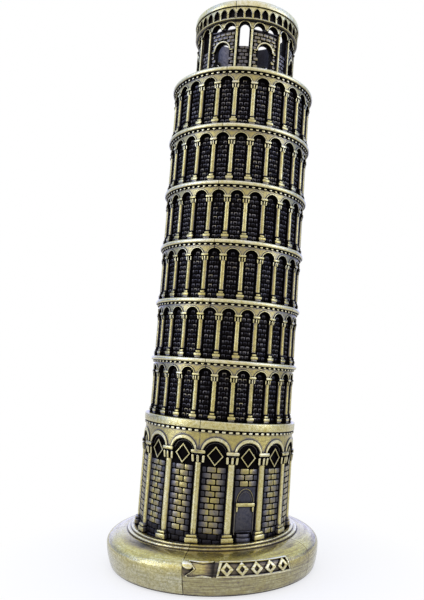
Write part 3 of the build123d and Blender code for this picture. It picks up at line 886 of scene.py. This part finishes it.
def belfry_rings():
    """Turned rings of one casting: wall foot, plinth, backing of the niches, string course, rim, groove."""
    back, top = BELFRY_IN, BELFRY_H
    course = [(22.0, 25.5), (22.7, 25.5), (23.3, 25.7), (23.95, 25.9)]
    course += [(24.1, 26.1), (24.0, 26.35), (22.0, 26.35)]
    rim = [(back, 31.55), (23.5, 31.55), (24.05, 31.62), (24.4, 31.75), (24.5, 32.1), (24.45, 33.4)]
    rim += [(24.3, 34.15), (23.95, 34.52), (23.5, top), (21.2, top), (20.4, top - 0.1), (back, top - 0.5)]
    sections = [
        ([(15.5, 0.0), (21.2, 0.0), (21.2, 1.1), (back, 2.4), (15.5, 2.4)], 0.0),
        ([(21.0, 0.0), (23.0, 0.0), (23.05, 0.35), (22.8, 0.7), (21.0, 0.7)], [0.0, 0.5, 0.9, 0.8, 0.2]),
        ([(back, 26.2), (23.0, 26.2), (23.0, 31.6), (back, 31.6)], 0.03),
        (course, [0.3, 1.0, 1.4, 1.5, 1.3, 0.9, 0.1]),
        (rim, [0.0, 0.0, *[1.2] * 7, 1.0, 0.7, 0.3]),
        ([(22.5, 31.2), (23.75, 31.2), (23.75, 31.62), (22.5, 31.62)], 0.0),
    ]
    ends = (-HALF + BELFRY_SEAM, HALF - BELFRY_SEAM)
    return [sector(p, *ends, 1.5, bright, 0.12 if np.ndim(bright) else 0.0) for p, bright in sections]


def inner_wall(shell, azimuth):
    """Leave the inside of the ring dark, with a painted patch of light and cool reflection at the rear."""
    x, y = shell.co[:, 0], shell.co[:, 1]
    off = (np.degrees(np.arctan2(x, -y)) + azimuth - LIT_PATCH_AZ + 180) % 360 - 180
    # painted light: the inner wall is lifted to bluish grey at the rear, where it shows through the doorways
    lit_patch = 0.08 + 0.24 * np.exp(-((off / 16) ** 2))
    shell.polish_and_light = np.where(np.hypot(x, y) < BELFRY_IN + 0.1, lit_patch, shell.polish_and_light)
    return shell


def build_belfry():
    """Shells of the five belfry castings in the object's frame."""
    ring = belfry_shells() + crown_shells()
    groups = []
    for index in range(CASTINGS):
        azimuth = index * SEGMENT
        shells = clip_wedge([turned(s, -azimuth) for s in ring], -HALF, HALF) + belfry_rings()
        shells = [inner_wall(s.rubbed(), azimuth) for s in shells]
        groups.append([leaned(turned(s, azimuth), SHAFT_TOP + GAP) for s in shells])
    return groups


# =========================== base ===========================
def bulge_top(angles):
    """(radius, height) on the upper part of the base's skin, by degrees up from its widest line."""
    wide, tall = BULGE_R - CROWN_R, BASE_TOP - BULGE_Z
    return [(CROWN_R + wide * math.cos(a), BULGE_Z + tall * math.sin(a)) for a in np.radians(angles)]


def base_profile():
    """Section through the base, with the polish of each corner."""
    flank = BASE_R - 0.35
    big = ((BULGE_Z - RIM_Z) ** 2 + (BULGE_R - BASE_R) ** 2) / (2 * (BULGE_R - BASE_R))
    profile = [(flank - 0.5, RIM_Z), (flank, RIM_Z + 0.08), (BASE_R - 0.05, RIM_Z + 0.35)]
    for z in np.linspace(RIM_Z + 0.9, BULGE_Z, 12):
        profile.append((BULGE_R - big + math.sqrt(big * big - (BULGE_Z - z) ** 2), z))
    profile += bulge_top(np.linspace(6, 90, 20))
    z = BASE_TOP
    for r in STEP_R:
        profile += [(r + 0.02, z + 0.02), (r, z + STEP_H - 0.3), (r - 0.09, z + STEP_H - 0.09)]
        profile += [(r - 0.3, z + STEP_H), (r - 1.2, z + STEP_H - 0.02)]
        z += STEP_H
    web = BASE_TOP - WEB_T
    seat_r, seat_z = PLATE_SEAT
    profile += [(FOOT_HOLE_R, z), (FOOT_HOLE_R, BASE_TOP), (WEB_HOLE_R, BASE_TOP), (WEB_HOLE_R, web)]
    profile += [(34.4, web), (CAVITY_R, 9.65), (CAVITY_R, seat_z), (seat_r, seat_z), (seat_r, RIM_Z)]
    # the step edges go past 1 to pale cream: painted highlight lines along the foot ring
    bright = [0.5] * 3 + [1.0] * 32 + [0.2, 0.8, 1.4, 1.4, 0.9] * 2 + [0.5] + [0.0] * 8
    return profile, bright


def bulge_table(low, high):
    """Arc length up the base's skin from one height to another, with radius, height and outward normal."""
    flare = BULGE_R - BASE_R
    heights = np.linspace(low, BULGE_Z, 10)
    lower = [(BULGE_R - flare * ((BULGE_Z - z) / (BULGE_Z - RIM_Z)) ** 2, z) for z in heights]
    end = math.degrees(math.asin((high - BULGE_Z) / (BASE_TOP - BULGE_Z)))
    points = np.array(lower + bulge_top(np.linspace(2, end, 40)))
    step = np.gradient(points, axis=0)
    step /= np.linalg.norm(step, axis=1)[:, None]
    length = np.r_[0, np.cumsum(np.linalg.norm(np.diff(points, axis=0), axis=1))]
    return np.c_[length, points, step[:, 1], -step[:, 0]]


def on_bulge(table, x, u, rise):
    """Points of the ribbon: x along the bulge from the front, u up its surface, rise outward."""
    r, z, out_r, out_z = (np.interp(u, table[:, 0], table[:, k]) for k in range(1, 5))
    return np.stack(round_axis(x / BULGE_R, r + rise * out_r, z + rise * out_z), 1)


def traced(corners, counts):
    """Points along the sides between corners, so many on each; the last corner is left out."""
    sides = zip(corners, corners[1:], counts)
    return np.concatenate([np.linspace(a, b, count, endpoint=False) for a, b, count in sides])


def ribbon_plate(top):
    """Middle of the ribbon: a framed plate with its row of lozenges."""
    left, right, bar = -18.6 * DEG, 17.2 * DEG, 0.85
    corners = np.array([(-20.3 * DEG, 0.0), (18.7 * DEG, 0.0), (16.9 * DEG, top), (-18.3 * DEG, top)])
    inset = np.array([(bar + 0.25, bar), (-bar, bar), (-bar, -bar * 0.7), (bar + 0.25, -bar * 0.7)])
    lines = [traced([*box, box[0]], (40, 6, 40, 6)) for box in (corners, corners + inset)]
    flat = [
        plate(corners, [], -0.6, 0.22, RIBBON_CELL, 0.44),
        moulding(*lines, -0.6, 1.05, 0.22, 1.45, 0.5, loop=True),
    ]
    pitch = (right - left) / LOZENGES
    for i in range(LOZENGES):
        figure = lozenge(pitch * 0.45, top / 2 - 0.3, 1.15, 0.6, -0.2, 1.05, 0.25, 1.5)
        flat.append(figure.at(left + (i + 0.5) * pitch, top / 2))
    return flat


def curl():
    """Small rounded roll at the end of the left tail."""
    turn = np.linspace(0, 2 * math.pi, 20, endpoint=False)
    rings = []
    levels = ((1.0, -0.3, 0.0), (1.0, 0.5, 0.0), (0.86, 1.05, 0.0), (0.55, 1.35, -0.1), (0.2, 1.42, -0.15))
    for grow, rise, shift in levels:
        across, up = grow * 2.5 * np.cos(turn) + shift, grow * 1.45 * np.sin(turn)
        rings.append(np.stack((across, up, np.full(20, rise)), 1))
    # polish runs from black at the foot to pale cream on top: painted shade round the foot and a painted
    # highlight on top
    roll = skin(rings, (0.0, 0.4, 1.2, 1.5, 1.5))
    x, y, z = roll.co.T
    return roll.moved(np.stack((x * 0.95 + y * 0.3, y * 0.95 - x * 0.3, z), 1))


def left_tail(top):
    """Notched tail with a raised border and a curl, a dark plate of painted shadow round the notch, and the
    fold next to the plate in painted shade.
    """
    middle, near = top / 2, -21.3 * DEG
    tip = (-30.4 * DEG, middle + 0.1)
    # ground: dark plate of painted shadow under the notch and the curl
    ground = [(-35.7 * DEG, 1.2), (-34.9 * DEG, -0.2), (-29.6 * DEG, middle - 0.2)]
    ground += [(-31.2 * DEG, top + 0.15), (-35.5 * DEG, top)]
    tail = [(near - 0.3, 0.1), (near + 0.7, top), (-33.3 * DEG, top + 0.1)]
    tail += [tip, (-34.7 * DEG, 0.45), (-34.2 * DEG, 0.0)]
    border = np.roll(tail, -1, 0)
    path = np.concatenate([traced(border, (14, 5, 6, 1, 14)), border[-1:]])
    into = np.array((near - 4.0, middle)) - path
    into /= np.linalg.norm(into, axis=1)[:, None]

    # painted shade: the tail darkens towards the fold
    def shade(flat):
        return np.interp(flat[:, 0], (near - 4.2, near - 0.4), (1.0, 0.12))

    # fold: dark strip of painted shade in the fold between the tail and the plate
    fold = [(near - 0.4, 0.25), (-20.0 * DEG, 0.35), (-18.4 * DEG, top - 0.4), (near + 0.8, top - 0.1)]
    return [
        plate(ground, [], -0.6, 0.05, RIBBON_CELL, 0.4),
        plate(tail, [], -0.6, 0.5, RIBBON_CELL * 0.7, 1.05, shade),
        moulding(path, path + into, -0.4, 1.05, 0.28, 1.45, 0.4),
        curl().at(-33.6 * DEG, middle + 1.35),
        plate(fold, [], -0.5, 0.3, RIBBON_CELL, 0.25),
    ]


def right_tail(top):
    """Narrow turn of the ribbon and the plain, worn tail beyond it."""
    high, low, far = 16.9 * DEG, 18.7 * DEG, 33.5 * DEG
    turn = [(low + 0.35, 0.35), (low + 1.5, 0.5), (high + 1.7, top - 0.1), (high + 0.35, top - 0.1)]
    tail = [(low + 1.75, 0.6), (far - 2.6, 1.0), (far - 3.2, top / 2), (far - 0.6, top / 2 + 0.6)]
    tail += [(far, top), (high + 2.0, top)]
    return [plate(turn, [], -0.5, 0.6, RIBBON_CELL, 0.95), plate(tail, [], -0.5, 0.34, RIBBON_CELL, 0.9)]


def ribbon_shells():
    """Ribbon laid over the front of the bulge; it sinks a little towards its right end."""
    table = bulge_table(6.5, 14.5)
    start, top = np.interp(RIBBON_Z, table[:, 2], table[:, 0])
    table[:, 0] -= start
    top -= start
    shells = []
    for part in ribbon_plate(top) + left_tail(top) + right_tail(top):
        x, u, rise = part.co.T
        u = u - np.interp(x, (-12.0, 14.0, 27.0), (0.0, 0.75, 1.1))
        shells.append(part.moved(on_bulge(table, x, u, rise)))
    return shells


def build_base(index):
    """Shells of one base casting."""
    azimuth = index * SEGMENT
    profile, bright = base_profile()
    depth = 0.95 if NAMES[index] == "front_left" else 0.1

    def patina_and_reflection(a, section):
        """Darker ring on the base's top round the foot ring, heavier on the front left casting: partly
        patina, partly painted reflection of the dark tower.
        """
        r, z = section.T
        side = max(0.0, 1 - abs(a - azimuth - 8) / 30)
        ring = np.interp(r, (37.2, 38.2, 41.0, 43.2), (0.7, 1.0, 0.8, 0.0)) * (z > BULGE_Z)
        ring[z > BASE_TOP - 0.001] = 0
        return 1 - depth * side * ring

    ends = (azimuth - HALF + BASE_SEAM, azimuth + HALF - BASE_SEAM)
    shells = [sector(profile, *ends, 1.0, bright, 0.16, patina_and_reflection)]
    boss = lathe([(3.5, PLATE_SEAT[1]), (3.5, BASE_TOP - 3.4)], 24, 0.0)
    x, y, z = boss.co.T
    centre_x, centre_y, _ = round_axis(math.radians(azimuth), BOSS_R, 0.0)
    shells.append(boss.moved(np.stack((centre_x + x, centre_y + z, y), 1)))
    if index == 0:
        shells += ribbon_shells()
    return shells


# =========================== meshes ===========================
def make_piece(name, shells, material, node, seed, smooth=32):
    """One Blender object from many shells, with a polish and a tone for every point."""
    rng = random.Random(seed)
    loops, totals, start = [], [], 0
    for shell in shells:
        for p in shell.polygons:
            loops.extend(i + start for i in p)
            totals.append(len(p))
        start += len(shell.co)
    mesh = bpy.data.meshes.new(name)
    mesh.vertices.add(start)
    mesh.vertices.foreach_set("co", (np.concatenate([s.co for s in shells]) * MM).ravel())
    mesh.loops.add(len(loops))
    mesh.loops.foreach_set("vertex_index", np.array(loops))
    mesh.polygons.add(len(totals))
    mesh.polygons.foreach_set("loop_start", np.r_[0, np.cumsum(totals)[:-1]])
    mesh.polygons.foreach_set("loop_total", np.array(totals))
    mesh.update(calc_edges=True)
    polish_and_light = [s.polish_and_light for s in shells]
    tone = [np.full(len(s.co), rng.random()) for s in shells]
    for label, values in (("polish_and_light", polish_and_light), ("tone", tone)):
        layer = mesh.attributes.new(label, "FLOAT", "POINT")
        layer.data.foreach_set("value", np.concatenate(values).astype(np.float32))
    mesh.validate()
    mesh.polygons.foreach_set("use_smooth", np.ones(len(mesh.polygons), bool))
    mesh.set_sharp_from_angle(angle=math.radians(smooth))
    mesh.materials.append(material)
    piece = bpy.data.objects.new(name, mesh)
    bpy.context.scene.collection.objects.link(piece)
    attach(piece, "root")
    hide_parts(node)
    return piece


# =========================== materials ===========================
# Polish past 1 runs to pale cream: worn brass with a painted highlight on raised edges, letters, beads and
# rings. The cool grey stops also colour the painted glints on gallery bricks and the painted light inside the
# belfry.
BRIGHTEST = 1.5
PATINA_TO_BRASS = (
    (0.0, (0.0035, 0.0026, 0.0030)),
    (0.08, (0.0115, 0.0088, 0.0088)),
    (0.18, (0.038, 0.039, 0.055)),
    (0.34, (0.145, 0.132, 0.122)),
    (0.46, (0.225, 0.205, 0.172)),
    (0.62, (0.36, 0.305, 0.122)),
    (0.85, (0.53, 0.462, 0.160)),
    (1.0, (0.67, 0.615, 0.30)),
    (BRIGHTEST, (0.95, 0.91, 0.66)),
)


class Nodes:
    """Short calls that fill a node tree."""

    def __init__(self, tree):
        self.tree = tree
        tree.nodes.clear()

    def put(self, socket, value):
        """Set an input to a number, a colour or another node's output."""
        if isinstance(value, bpy.types.NodeSocket):
            self.tree.links.new(value, socket)
        else:
            socket.default_value = value

    def new(self, kind, values=None, **settings):
        """Add a node with these settings and input values."""
        node = self.tree.nodes.new("ShaderNode" + kind)
        for key, value in settings.items():
            setattr(node, key, value)
        for key, value in (values or {}).items():
            self.put(node.inputs[key], value)
        return node

    def attribute(self, name):
        return self.new("Attribute", attribute_name=name).outputs["Fac"]

    def place(self, stretch=(1, 1, 1)):
        """Object coordinates in millimetres, stretched by a scale along each axis."""
        coords = self.new("TexCoord").outputs["Object"]
        return self.new("Mapping", {"Vector": coords, "Scale": [s / MM for s in stretch]}).outputs["Vector"]

    def noise(self, scale, detail=3.0, rough=0.55, stretch=(1, 1, 1)):
        values = {"Vector": self.place(stretch), "Scale": scale, "Detail": detail, "Roughness": rough}
        return self.new("TexNoise", values).outputs["Fac"]

    def cells(self, scale):
        return self.new("TexVoronoi", {"Vector": self.place(), "Scale": scale}).outputs["Distance"]

    def maths(self, kind, a, b=0.0, c=0.0):
        return self.new("Math", {0: a, 1: b, 2: c}, operation=kind).outputs[0]

    def dot(self, vector, direction):
        return self.new("VectorMath", {0: vector, 1: direction}, operation="DOT_PRODUCT").outputs["Value"]

    def height(self, vector):
        return self.new("SeparateXYZ", {0: vector}).outputs["Z"]

    def span(self, value, low, high, to_low=0.0, to_high=1.0):
        """Map a range to another, clamped."""
        values = {"Value": value, "From Min": low, "From Max": high, "To Min": to_low, "To Max": to_high}
        return self.new("MapRange", values).outputs[0]

    def mix(self, factor, a, b, blend="MIX"):
        """Colour between two others, or with another blend of them."""
        node = self.new("Mix", {"Factor": factor}, data_type="RGBA", blend_type=blend)
        for socket, value in zip([s for s in node.inputs if s.type == "RGBA"], (a, b)):
            self.put(socket, value)
        return next(s for s in node.outputs if s.type == "RGBA")

    def tint(self, colour, by):
        """Colour multiplied by another."""
        return self.mix(1.0, colour, by, "MULTIPLY")

    def ramp(self, value, stops):
        """Colour by position, from (position, (red, green, blue)) stops."""
        end = stops[-1][0]
        if end != 1:
            value = self.maths("DIVIDE", value, end)
        node = self.new("ValToRGB", {"Fac": value})
        elements = node.color_ramp.elements
        while len(elements) < len(stops):
            elements.new(0.5)
        for element, (position, colour) in zip(elements, stops):
            element.position = position / end
            element.color = (*colour, 1)
        return node.outputs["Color"]

    def crevice(self, distance):
        """1 in the open, towards 0 in a deep corner."""
        return self.new("AmbientOcclusion", {"Distance": distance * MM}, samples=8).outputs["AO"]

    def bump(self, height, distance, strength=1.0, below=None):
        values = {"Distance": distance * MM, "Strength": strength, "Height": height}
        if below is not None:
            values["Normal"] = below
        return self.new("Bump", values).outputs["Normal"]

    def blend(self, factor, first, second):
        """Shader between the shaders of two nodes."""
        return self.new("MixShader", {0: factor, 1: first.outputs[0], 2: second.outputs[0]}).outputs[0]


class Finish(Nodes):
    """Node tree of a material with one principled shader."""

    def __init__(self, name):
        self.material = bpy.data.materials.new(name)
        self.material.use_nodes = True
        super().__init__(self.material.node_tree)
        self.shader = self.new("BsdfPrincipled")
        self.out = self.new("OutputMaterial", {"Surface": self.shader.outputs[0]})

    def set(self, name, value):
        """Give the shader's input a value."""
        self.put(self.shader.inputs[name], value)


def antique_brass(name, brushed, pitted):
    """Rubbed brass under lacquer, over a blue-black patina that stays in the recesses."""
    n = Finish(name)
    patches = n.noise(0.16, 4.0)
    mottle = n.noise(0.9, 4.0, 0.65)
    grain = n.noise(4.0, 3.0, 0.6)
    wear = n.maths("MULTIPLY", n.attribute("polish_and_light"), n.span(mottle, 0.25, 0.6, 0.7, 1.12))
    wear = n.maths("MULTIPLY", wear, n.span(n.attribute("tone"), 0.0, 1.0, 0.9, 1.05))
    wear = n.maths("MULTIPLY", wear, n.span(n.crevice(1.5), 0.38, 0.88, 0.03, 1.0))
    pits = n.span(n.cells(1.2 + 0.5 * pitted), 0.05, 0.30, 1.0, 0.0)
    pits = n.maths("MULTIPLY", pits, n.span(patches, 0.56 - 0.36 * pitted, 0.72 - 0.15 * pitted, 0.0, 1.0))
    wear = n.maths("MULTIPLY", wear, n.span(pits, 0.0, 1.0, 1.0, 0.4 - 0.2 * pitted))
    if brushed:
        strokes = n.noise(1.0, 5.0, 0.75, (0.07, 0.07, 2.2))
        wear = n.maths("MULTIPLY", wear, n.span(strokes, 0.36, 0.60, 1.0 - 0.5 * brushed, 1.06))
    colour = n.ramp(wear, PATINA_TO_BRASS)
    if brushed:
        white = (1, 1, 1, 1)
        # painted reflection: the base is tinted cool grey low down and yellow higher up, as it reflects the
        # room below and the tower above; the palest worn parts are left untinted
        hue = n.mix(n.span(n.height(n.place()), 7.0, 12.5), (0.80, 0.83, 1.02, 1), (1.0, 0.95, 0.54, 1))
        colour = n.tint(colour, n.mix(n.span(wear, 1.0, 1.35), hue, white))
        # painted reflection of the dark tower: the darker metal of the base is tinted brown
        colour = n.tint(colour, n.mix(n.span(wear, 0.15, 0.75), (1.12, 0.86, 0.42, 1), white))
    colour = n.tint(colour, n.mix(n.span(patches, 0.35, 0.65), (0.98, 0.94, 0.78, 1), (1.0, 1.0, 1.04, 1)))
    n.set("Base Color", colour)
    n.set("Metallic", n.span(wear, 0.05, 0.4, 0.0, 1.0))
    n.set("Specular IOR Level", n.span(wear, 0.02, 0.25, 0.02, 0.5))
    rough = n.maths("ADD", n.span(wear, 0.1, 0.9, 0.40, 0.25), n.span(grain, 0.3, 0.7, -0.04, 0.08))
    if brushed:
        rough = n.maths("ADD", rough, n.span(strokes, 0.35, 0.65, 0.12, -0.05))
    n.set("Roughness", rough)
    worn, lacquer, coat_rough, coat_ior = (0.6, 1.0, 0.14, 1.75) if brushed else (0.4, 0.6, 0.18, 1.5)
    n.set("Coat Weight", n.span(wear, 0.03, worn, 0.0, lacquer))
    n.set("Coat Roughness", coat_rough)
    n.set("Coat IOR", coat_ior)
    normal = n.bump(grain, 0.05, 1.0, n.bump(mottle, 0.10))
    normal = n.bump(n.maths("MULTIPLY", pits, -1.0), 0.06 + 0.10 * pitted, 1.0, normal)
    if brushed:
        normal = n.bump(strokes, 0.12 * brushed, 1.0, normal)
    n.set("Normal", normal)
    return n.material


def zinc_steel():
    """Dull zinc-plated steel with a crystal bloom and faint turning lines."""
    n = Finish("zinc_steel")
    bloom = n.noise(0.5, 4.0, 0.6)
    n.set("Base Color", n.mix(n.span(bloom, 0.3, 0.7), (0.50, 0.51, 0.52, 1), (0.66, 0.67, 0.66, 1)))
    n.set("Metallic", 1.0)
    n.set("Roughness", n.span(bloom, 0.3, 0.7, 0.34, 0.5))
    n.set("Normal", n.bump(n.noise(1.2, 2.0, 0.5, (0.6, 0.6, 6.0)), 0.02))
    return n.material


def dark_deck():
    """Unpolished patina of the belfry floor, rubbed a little in broad random patches."""
    n = Finish("dark_patina")
    mottle = n.noise(0.7, 4.0, 0.65)
    rub = n.span(n.noise(0.12, 3.0), 0.5, 0.75, 0.0, 0.5)
    colour = n.mix(n.span(mottle, 0.3, 0.7), (0.05, 0.048, 0.062, 1), (0.12, 0.11, 0.10, 1))
    n.set("Base Color", n.mix(rub, colour, (0.36, 0.31, 0.13, 1)))
    n.set("Metallic", 0.9)
    n.set("Roughness", n.span(mottle, 0.3, 0.7, 0.36, 0.52))
    n.set("Normal", n.bump(mottle, 0.08))
    return n.material


def felt():
    """Pressed wool felt."""
    n = Finish("felt")
    fibre = n.noise(3.0, 5.0, 0.75)
    n.set("Base Color", n.mix(n.span(fibre, 0.3, 0.7), (0.010, 0.020, 0.013, 1), (0.035, 0.055, 0.038, 1)))
    n.set("Roughness", n.span(n.noise(0.25, 3.0), 0.3, 0.7, 0.9, 1.0))
    n.set("Sheen Weight", 0.4)
    n.set("Normal", n.bump(fibre, 0.25))
    return n.material


# =========================== pieces ===========================
plain_brass = antique_brass("antique_brass", 0.0, 0.35)
brushed_brass = antique_brass("antique_brass_brushed", 1.0, 0.15)
pitted_brass = antique_brass("antique_brass_pitted", 0.4, 1.0)

belfry_groups = build_belfry()
for number, part_name in enumerate(NAMES):
    base_brass = pitted_brass if part_name in ("front_left", "rear_left") else brushed_brass
    for kind, level, shells, material, seed, smooth in (
        ("base", "base_segment", build_base(number), base_brass, 100, 30),
        ("stave", "shaft_stave", build_stave(number), plain_brass, 200, 32),
        ("belfry", "belfry_segment", belfry_groups[number], plain_brass, 300, 32),
    ):
        name, node_name = f"{kind}_{part_name}", f"{level}_{part_name}"
        make_piece(name, shells, material, node_name, seed + number, smooth)

felt_low, felt_high = (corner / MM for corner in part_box("felt_pad"))
felt_r = felt_high.x
felt_edge = [(0.3, 0.02), (felt_r - 0.35, 0.02), (felt_r - 0.08, 0.12), (felt_r, 0.4)]
felt_edge += [(felt_r - 0.05, 0.75), (felt_r - 0.3, 0.88), (0.3, 0.88)]
pad = lathe([(r, felt_low.z + z) for r, z in felt_edge], 180, 0.0)
make_piece("felt_disc", [Shell(pad.co[:, [0, 2, 1]], pad.polygons, 0.0)], felt(), "felt_pad", 400)

steel, patina = zinc_steel(), dark_deck()
for node_name in ("belfry_deck", "clamp_plate", "bottom_plate", "shaft_screws", "base_screws", "deck_screws"):
    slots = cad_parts[node_name].data.materials
    slots.clear()
    slots.append(patina if node_name == "belfry_deck" else steel)


# =========================== stage ===========================
VIEW = (0.3617, 0.9296, 0.0710)


def floor_material():
    """Pale matt floor round the model that runs out into the white of the studio."""
    n = Finish("floor")
    n.set("Base Color", (0.985, 0.955, 0.865, 1))
    n.set("Roughness", 0.9)
    reach = n.new("VectorMath", {0: n.new("TexCoord").outputs["Object"]}, operation="LENGTH")
    away = n.span(reach.outputs["Value"], 0.045, 0.10, 0.68, 1.0)
    seen = n.new("LightPath").outputs["Is Camera Ray"]
    glow = n.new("Emission", {"Strength": n.span(seen, 0.0, 1.0, 0.68, 1.0)})
    n.put(n.out.inputs["Surface"], n.blend(away, n.shader, glow))
    return n.material


def make_floor(size):
    mesh = bpy.data.meshes.new("floor")
    s = size / 2
    mesh.from_pydata([(-s, -s, 0), (s, -s, 0), (s, s, 0), (-s, s, 0)], [], [(0, 1, 2, 3)])
    mesh.materials.append(floor_material())
    floor = bpy.data.objects.new("floor", mesh)
    bpy.context.scene.collection.objects.link(floor)


def make_world():
    """White surroundings for the camera; reflections see a bright room with a dark belt.

    The room is bluer beyond the model than behind the camera, and cooler still at both sides.
    """
    world = bpy.data.worlds.new("studio")
    bpy.context.scene.world = world
    world.use_nodes = True
    n = Nodes(world.node_tree)
    direction = n.new("TexCoord").outputs["Generated"]
    behind = n.maths("MULTIPLY_ADD", n.dot(direction, [-v for v in VIEW]), 0.5, 0.5)  # 0 ahead, 1 behind
    light = (  # place from ahead to behind, brightness
        (0.0, 1.1), (0.06, 0.95), (0.14, 0.55), (0.22, 0.30), (0.32, 0.34),
        (0.44, 0.85), (0.60, 1.15), (0.80, 0.95), (0.92, 0.84), (1.0, 0.76),
    )
    hues = ((0.87, 0.92, 0.99), (0.92, 0.93, 0.97), (1.42, 1.22, 1.04))  # red, green and blue by place
    stops = [(at, [bright * np.interp(at, (0.35, 0.6, 0.85), hue) for hue in hues]) for at, bright in light]
    colour = n.ramp(behind, stops)
    sideways = n.maths("ABSOLUTE", n.dot(direction, (-VIEW[1], VIEW[0], 0.0)))
    flank = n.maths("MULTIPLY", n.span(sideways, 0.0, 0.6), n.span(behind, 0.85, 0.45))
    flank = n.maths("MULTIPLY", flank, n.span(behind, 0.02, 0.34))
    colour = n.mix(flank, colour, (0.70, 0.92, 1.5, 1), "MULTIPLY")
    sky = n.maths("MULTIPLY", n.span(n.height(direction), 0.2, 0.42), n.span(behind, 0.5, 0.35))
    room = n.new("Background", {"Color": n.mix(sky, colour, (0.80, 0.88, 1.02, 1)), "Strength": 1.05})
    white = n.new("Background", {"Color": (1, 1, 1, 1)})
    seen = n.new("LightPath").outputs["Is Camera Ray"]
    n.new("OutputWorld", {"Surface": n.blend(seen, room, white)})


def softbox(name, azimuth, height, distance, size, power, colour=(1, 1, 1)):
    """Rectangular lamp aimed at the middle of the tower."""
    data = bpy.data.lights.new(name, "AREA")
    data.shape = "RECTANGLE"
    data.size, data.size_y = size
    data.energy = power
    data.color = colour
    lamp = bpy.data.objects.new(name, data)
    lamp.location = round_axis(math.radians(azimuth), distance, height)
    lamp.rotation_mode = "QUATERNION"
    lamp.rotation_quaternion = (Vector((0.0, 0.0, 0.12)) - lamp.location).to_track_quat("-Z", "Y")
    bpy.context.scene.collection.objects.link(lamp)


def make_camera():
    """Close, slightly low viewpoint left of the door, turned as the tower is seen."""
    data = bpy.data.cameras.new("camera")
    data.sensor_width = 36.0
    data.lens = 38.34
    data.shift_x = 0.0105
    data.shift_y = 0.0105
    data.clip_start = 0.01
    data.clip_end = 20
    camera = bpy.data.objects.new("camera", data)
    camera.location = (-0.1072, -0.2678, 0.0914)
    camera.rotation_mode = "QUATERNION"
    camera.rotation_quaternion = Vector(VIEW).to_track_quat("-Z", "Y")
    bpy.context.scene.collection.objects.link(camera)
    bpy.context.scene.camera = camera


make_floor(6.0)
make_world()
softbox("key_left", -88, 0.30, 0.9, (0.35, 0.7), 1.6, (0.96, 0.99, 1.07))
softbox("key_right", 48, 0.25, 0.9, (0.35, 0.7), 1.3)
make_camera()
bpy.context.scene.view_settings.view_transform = "Standard"
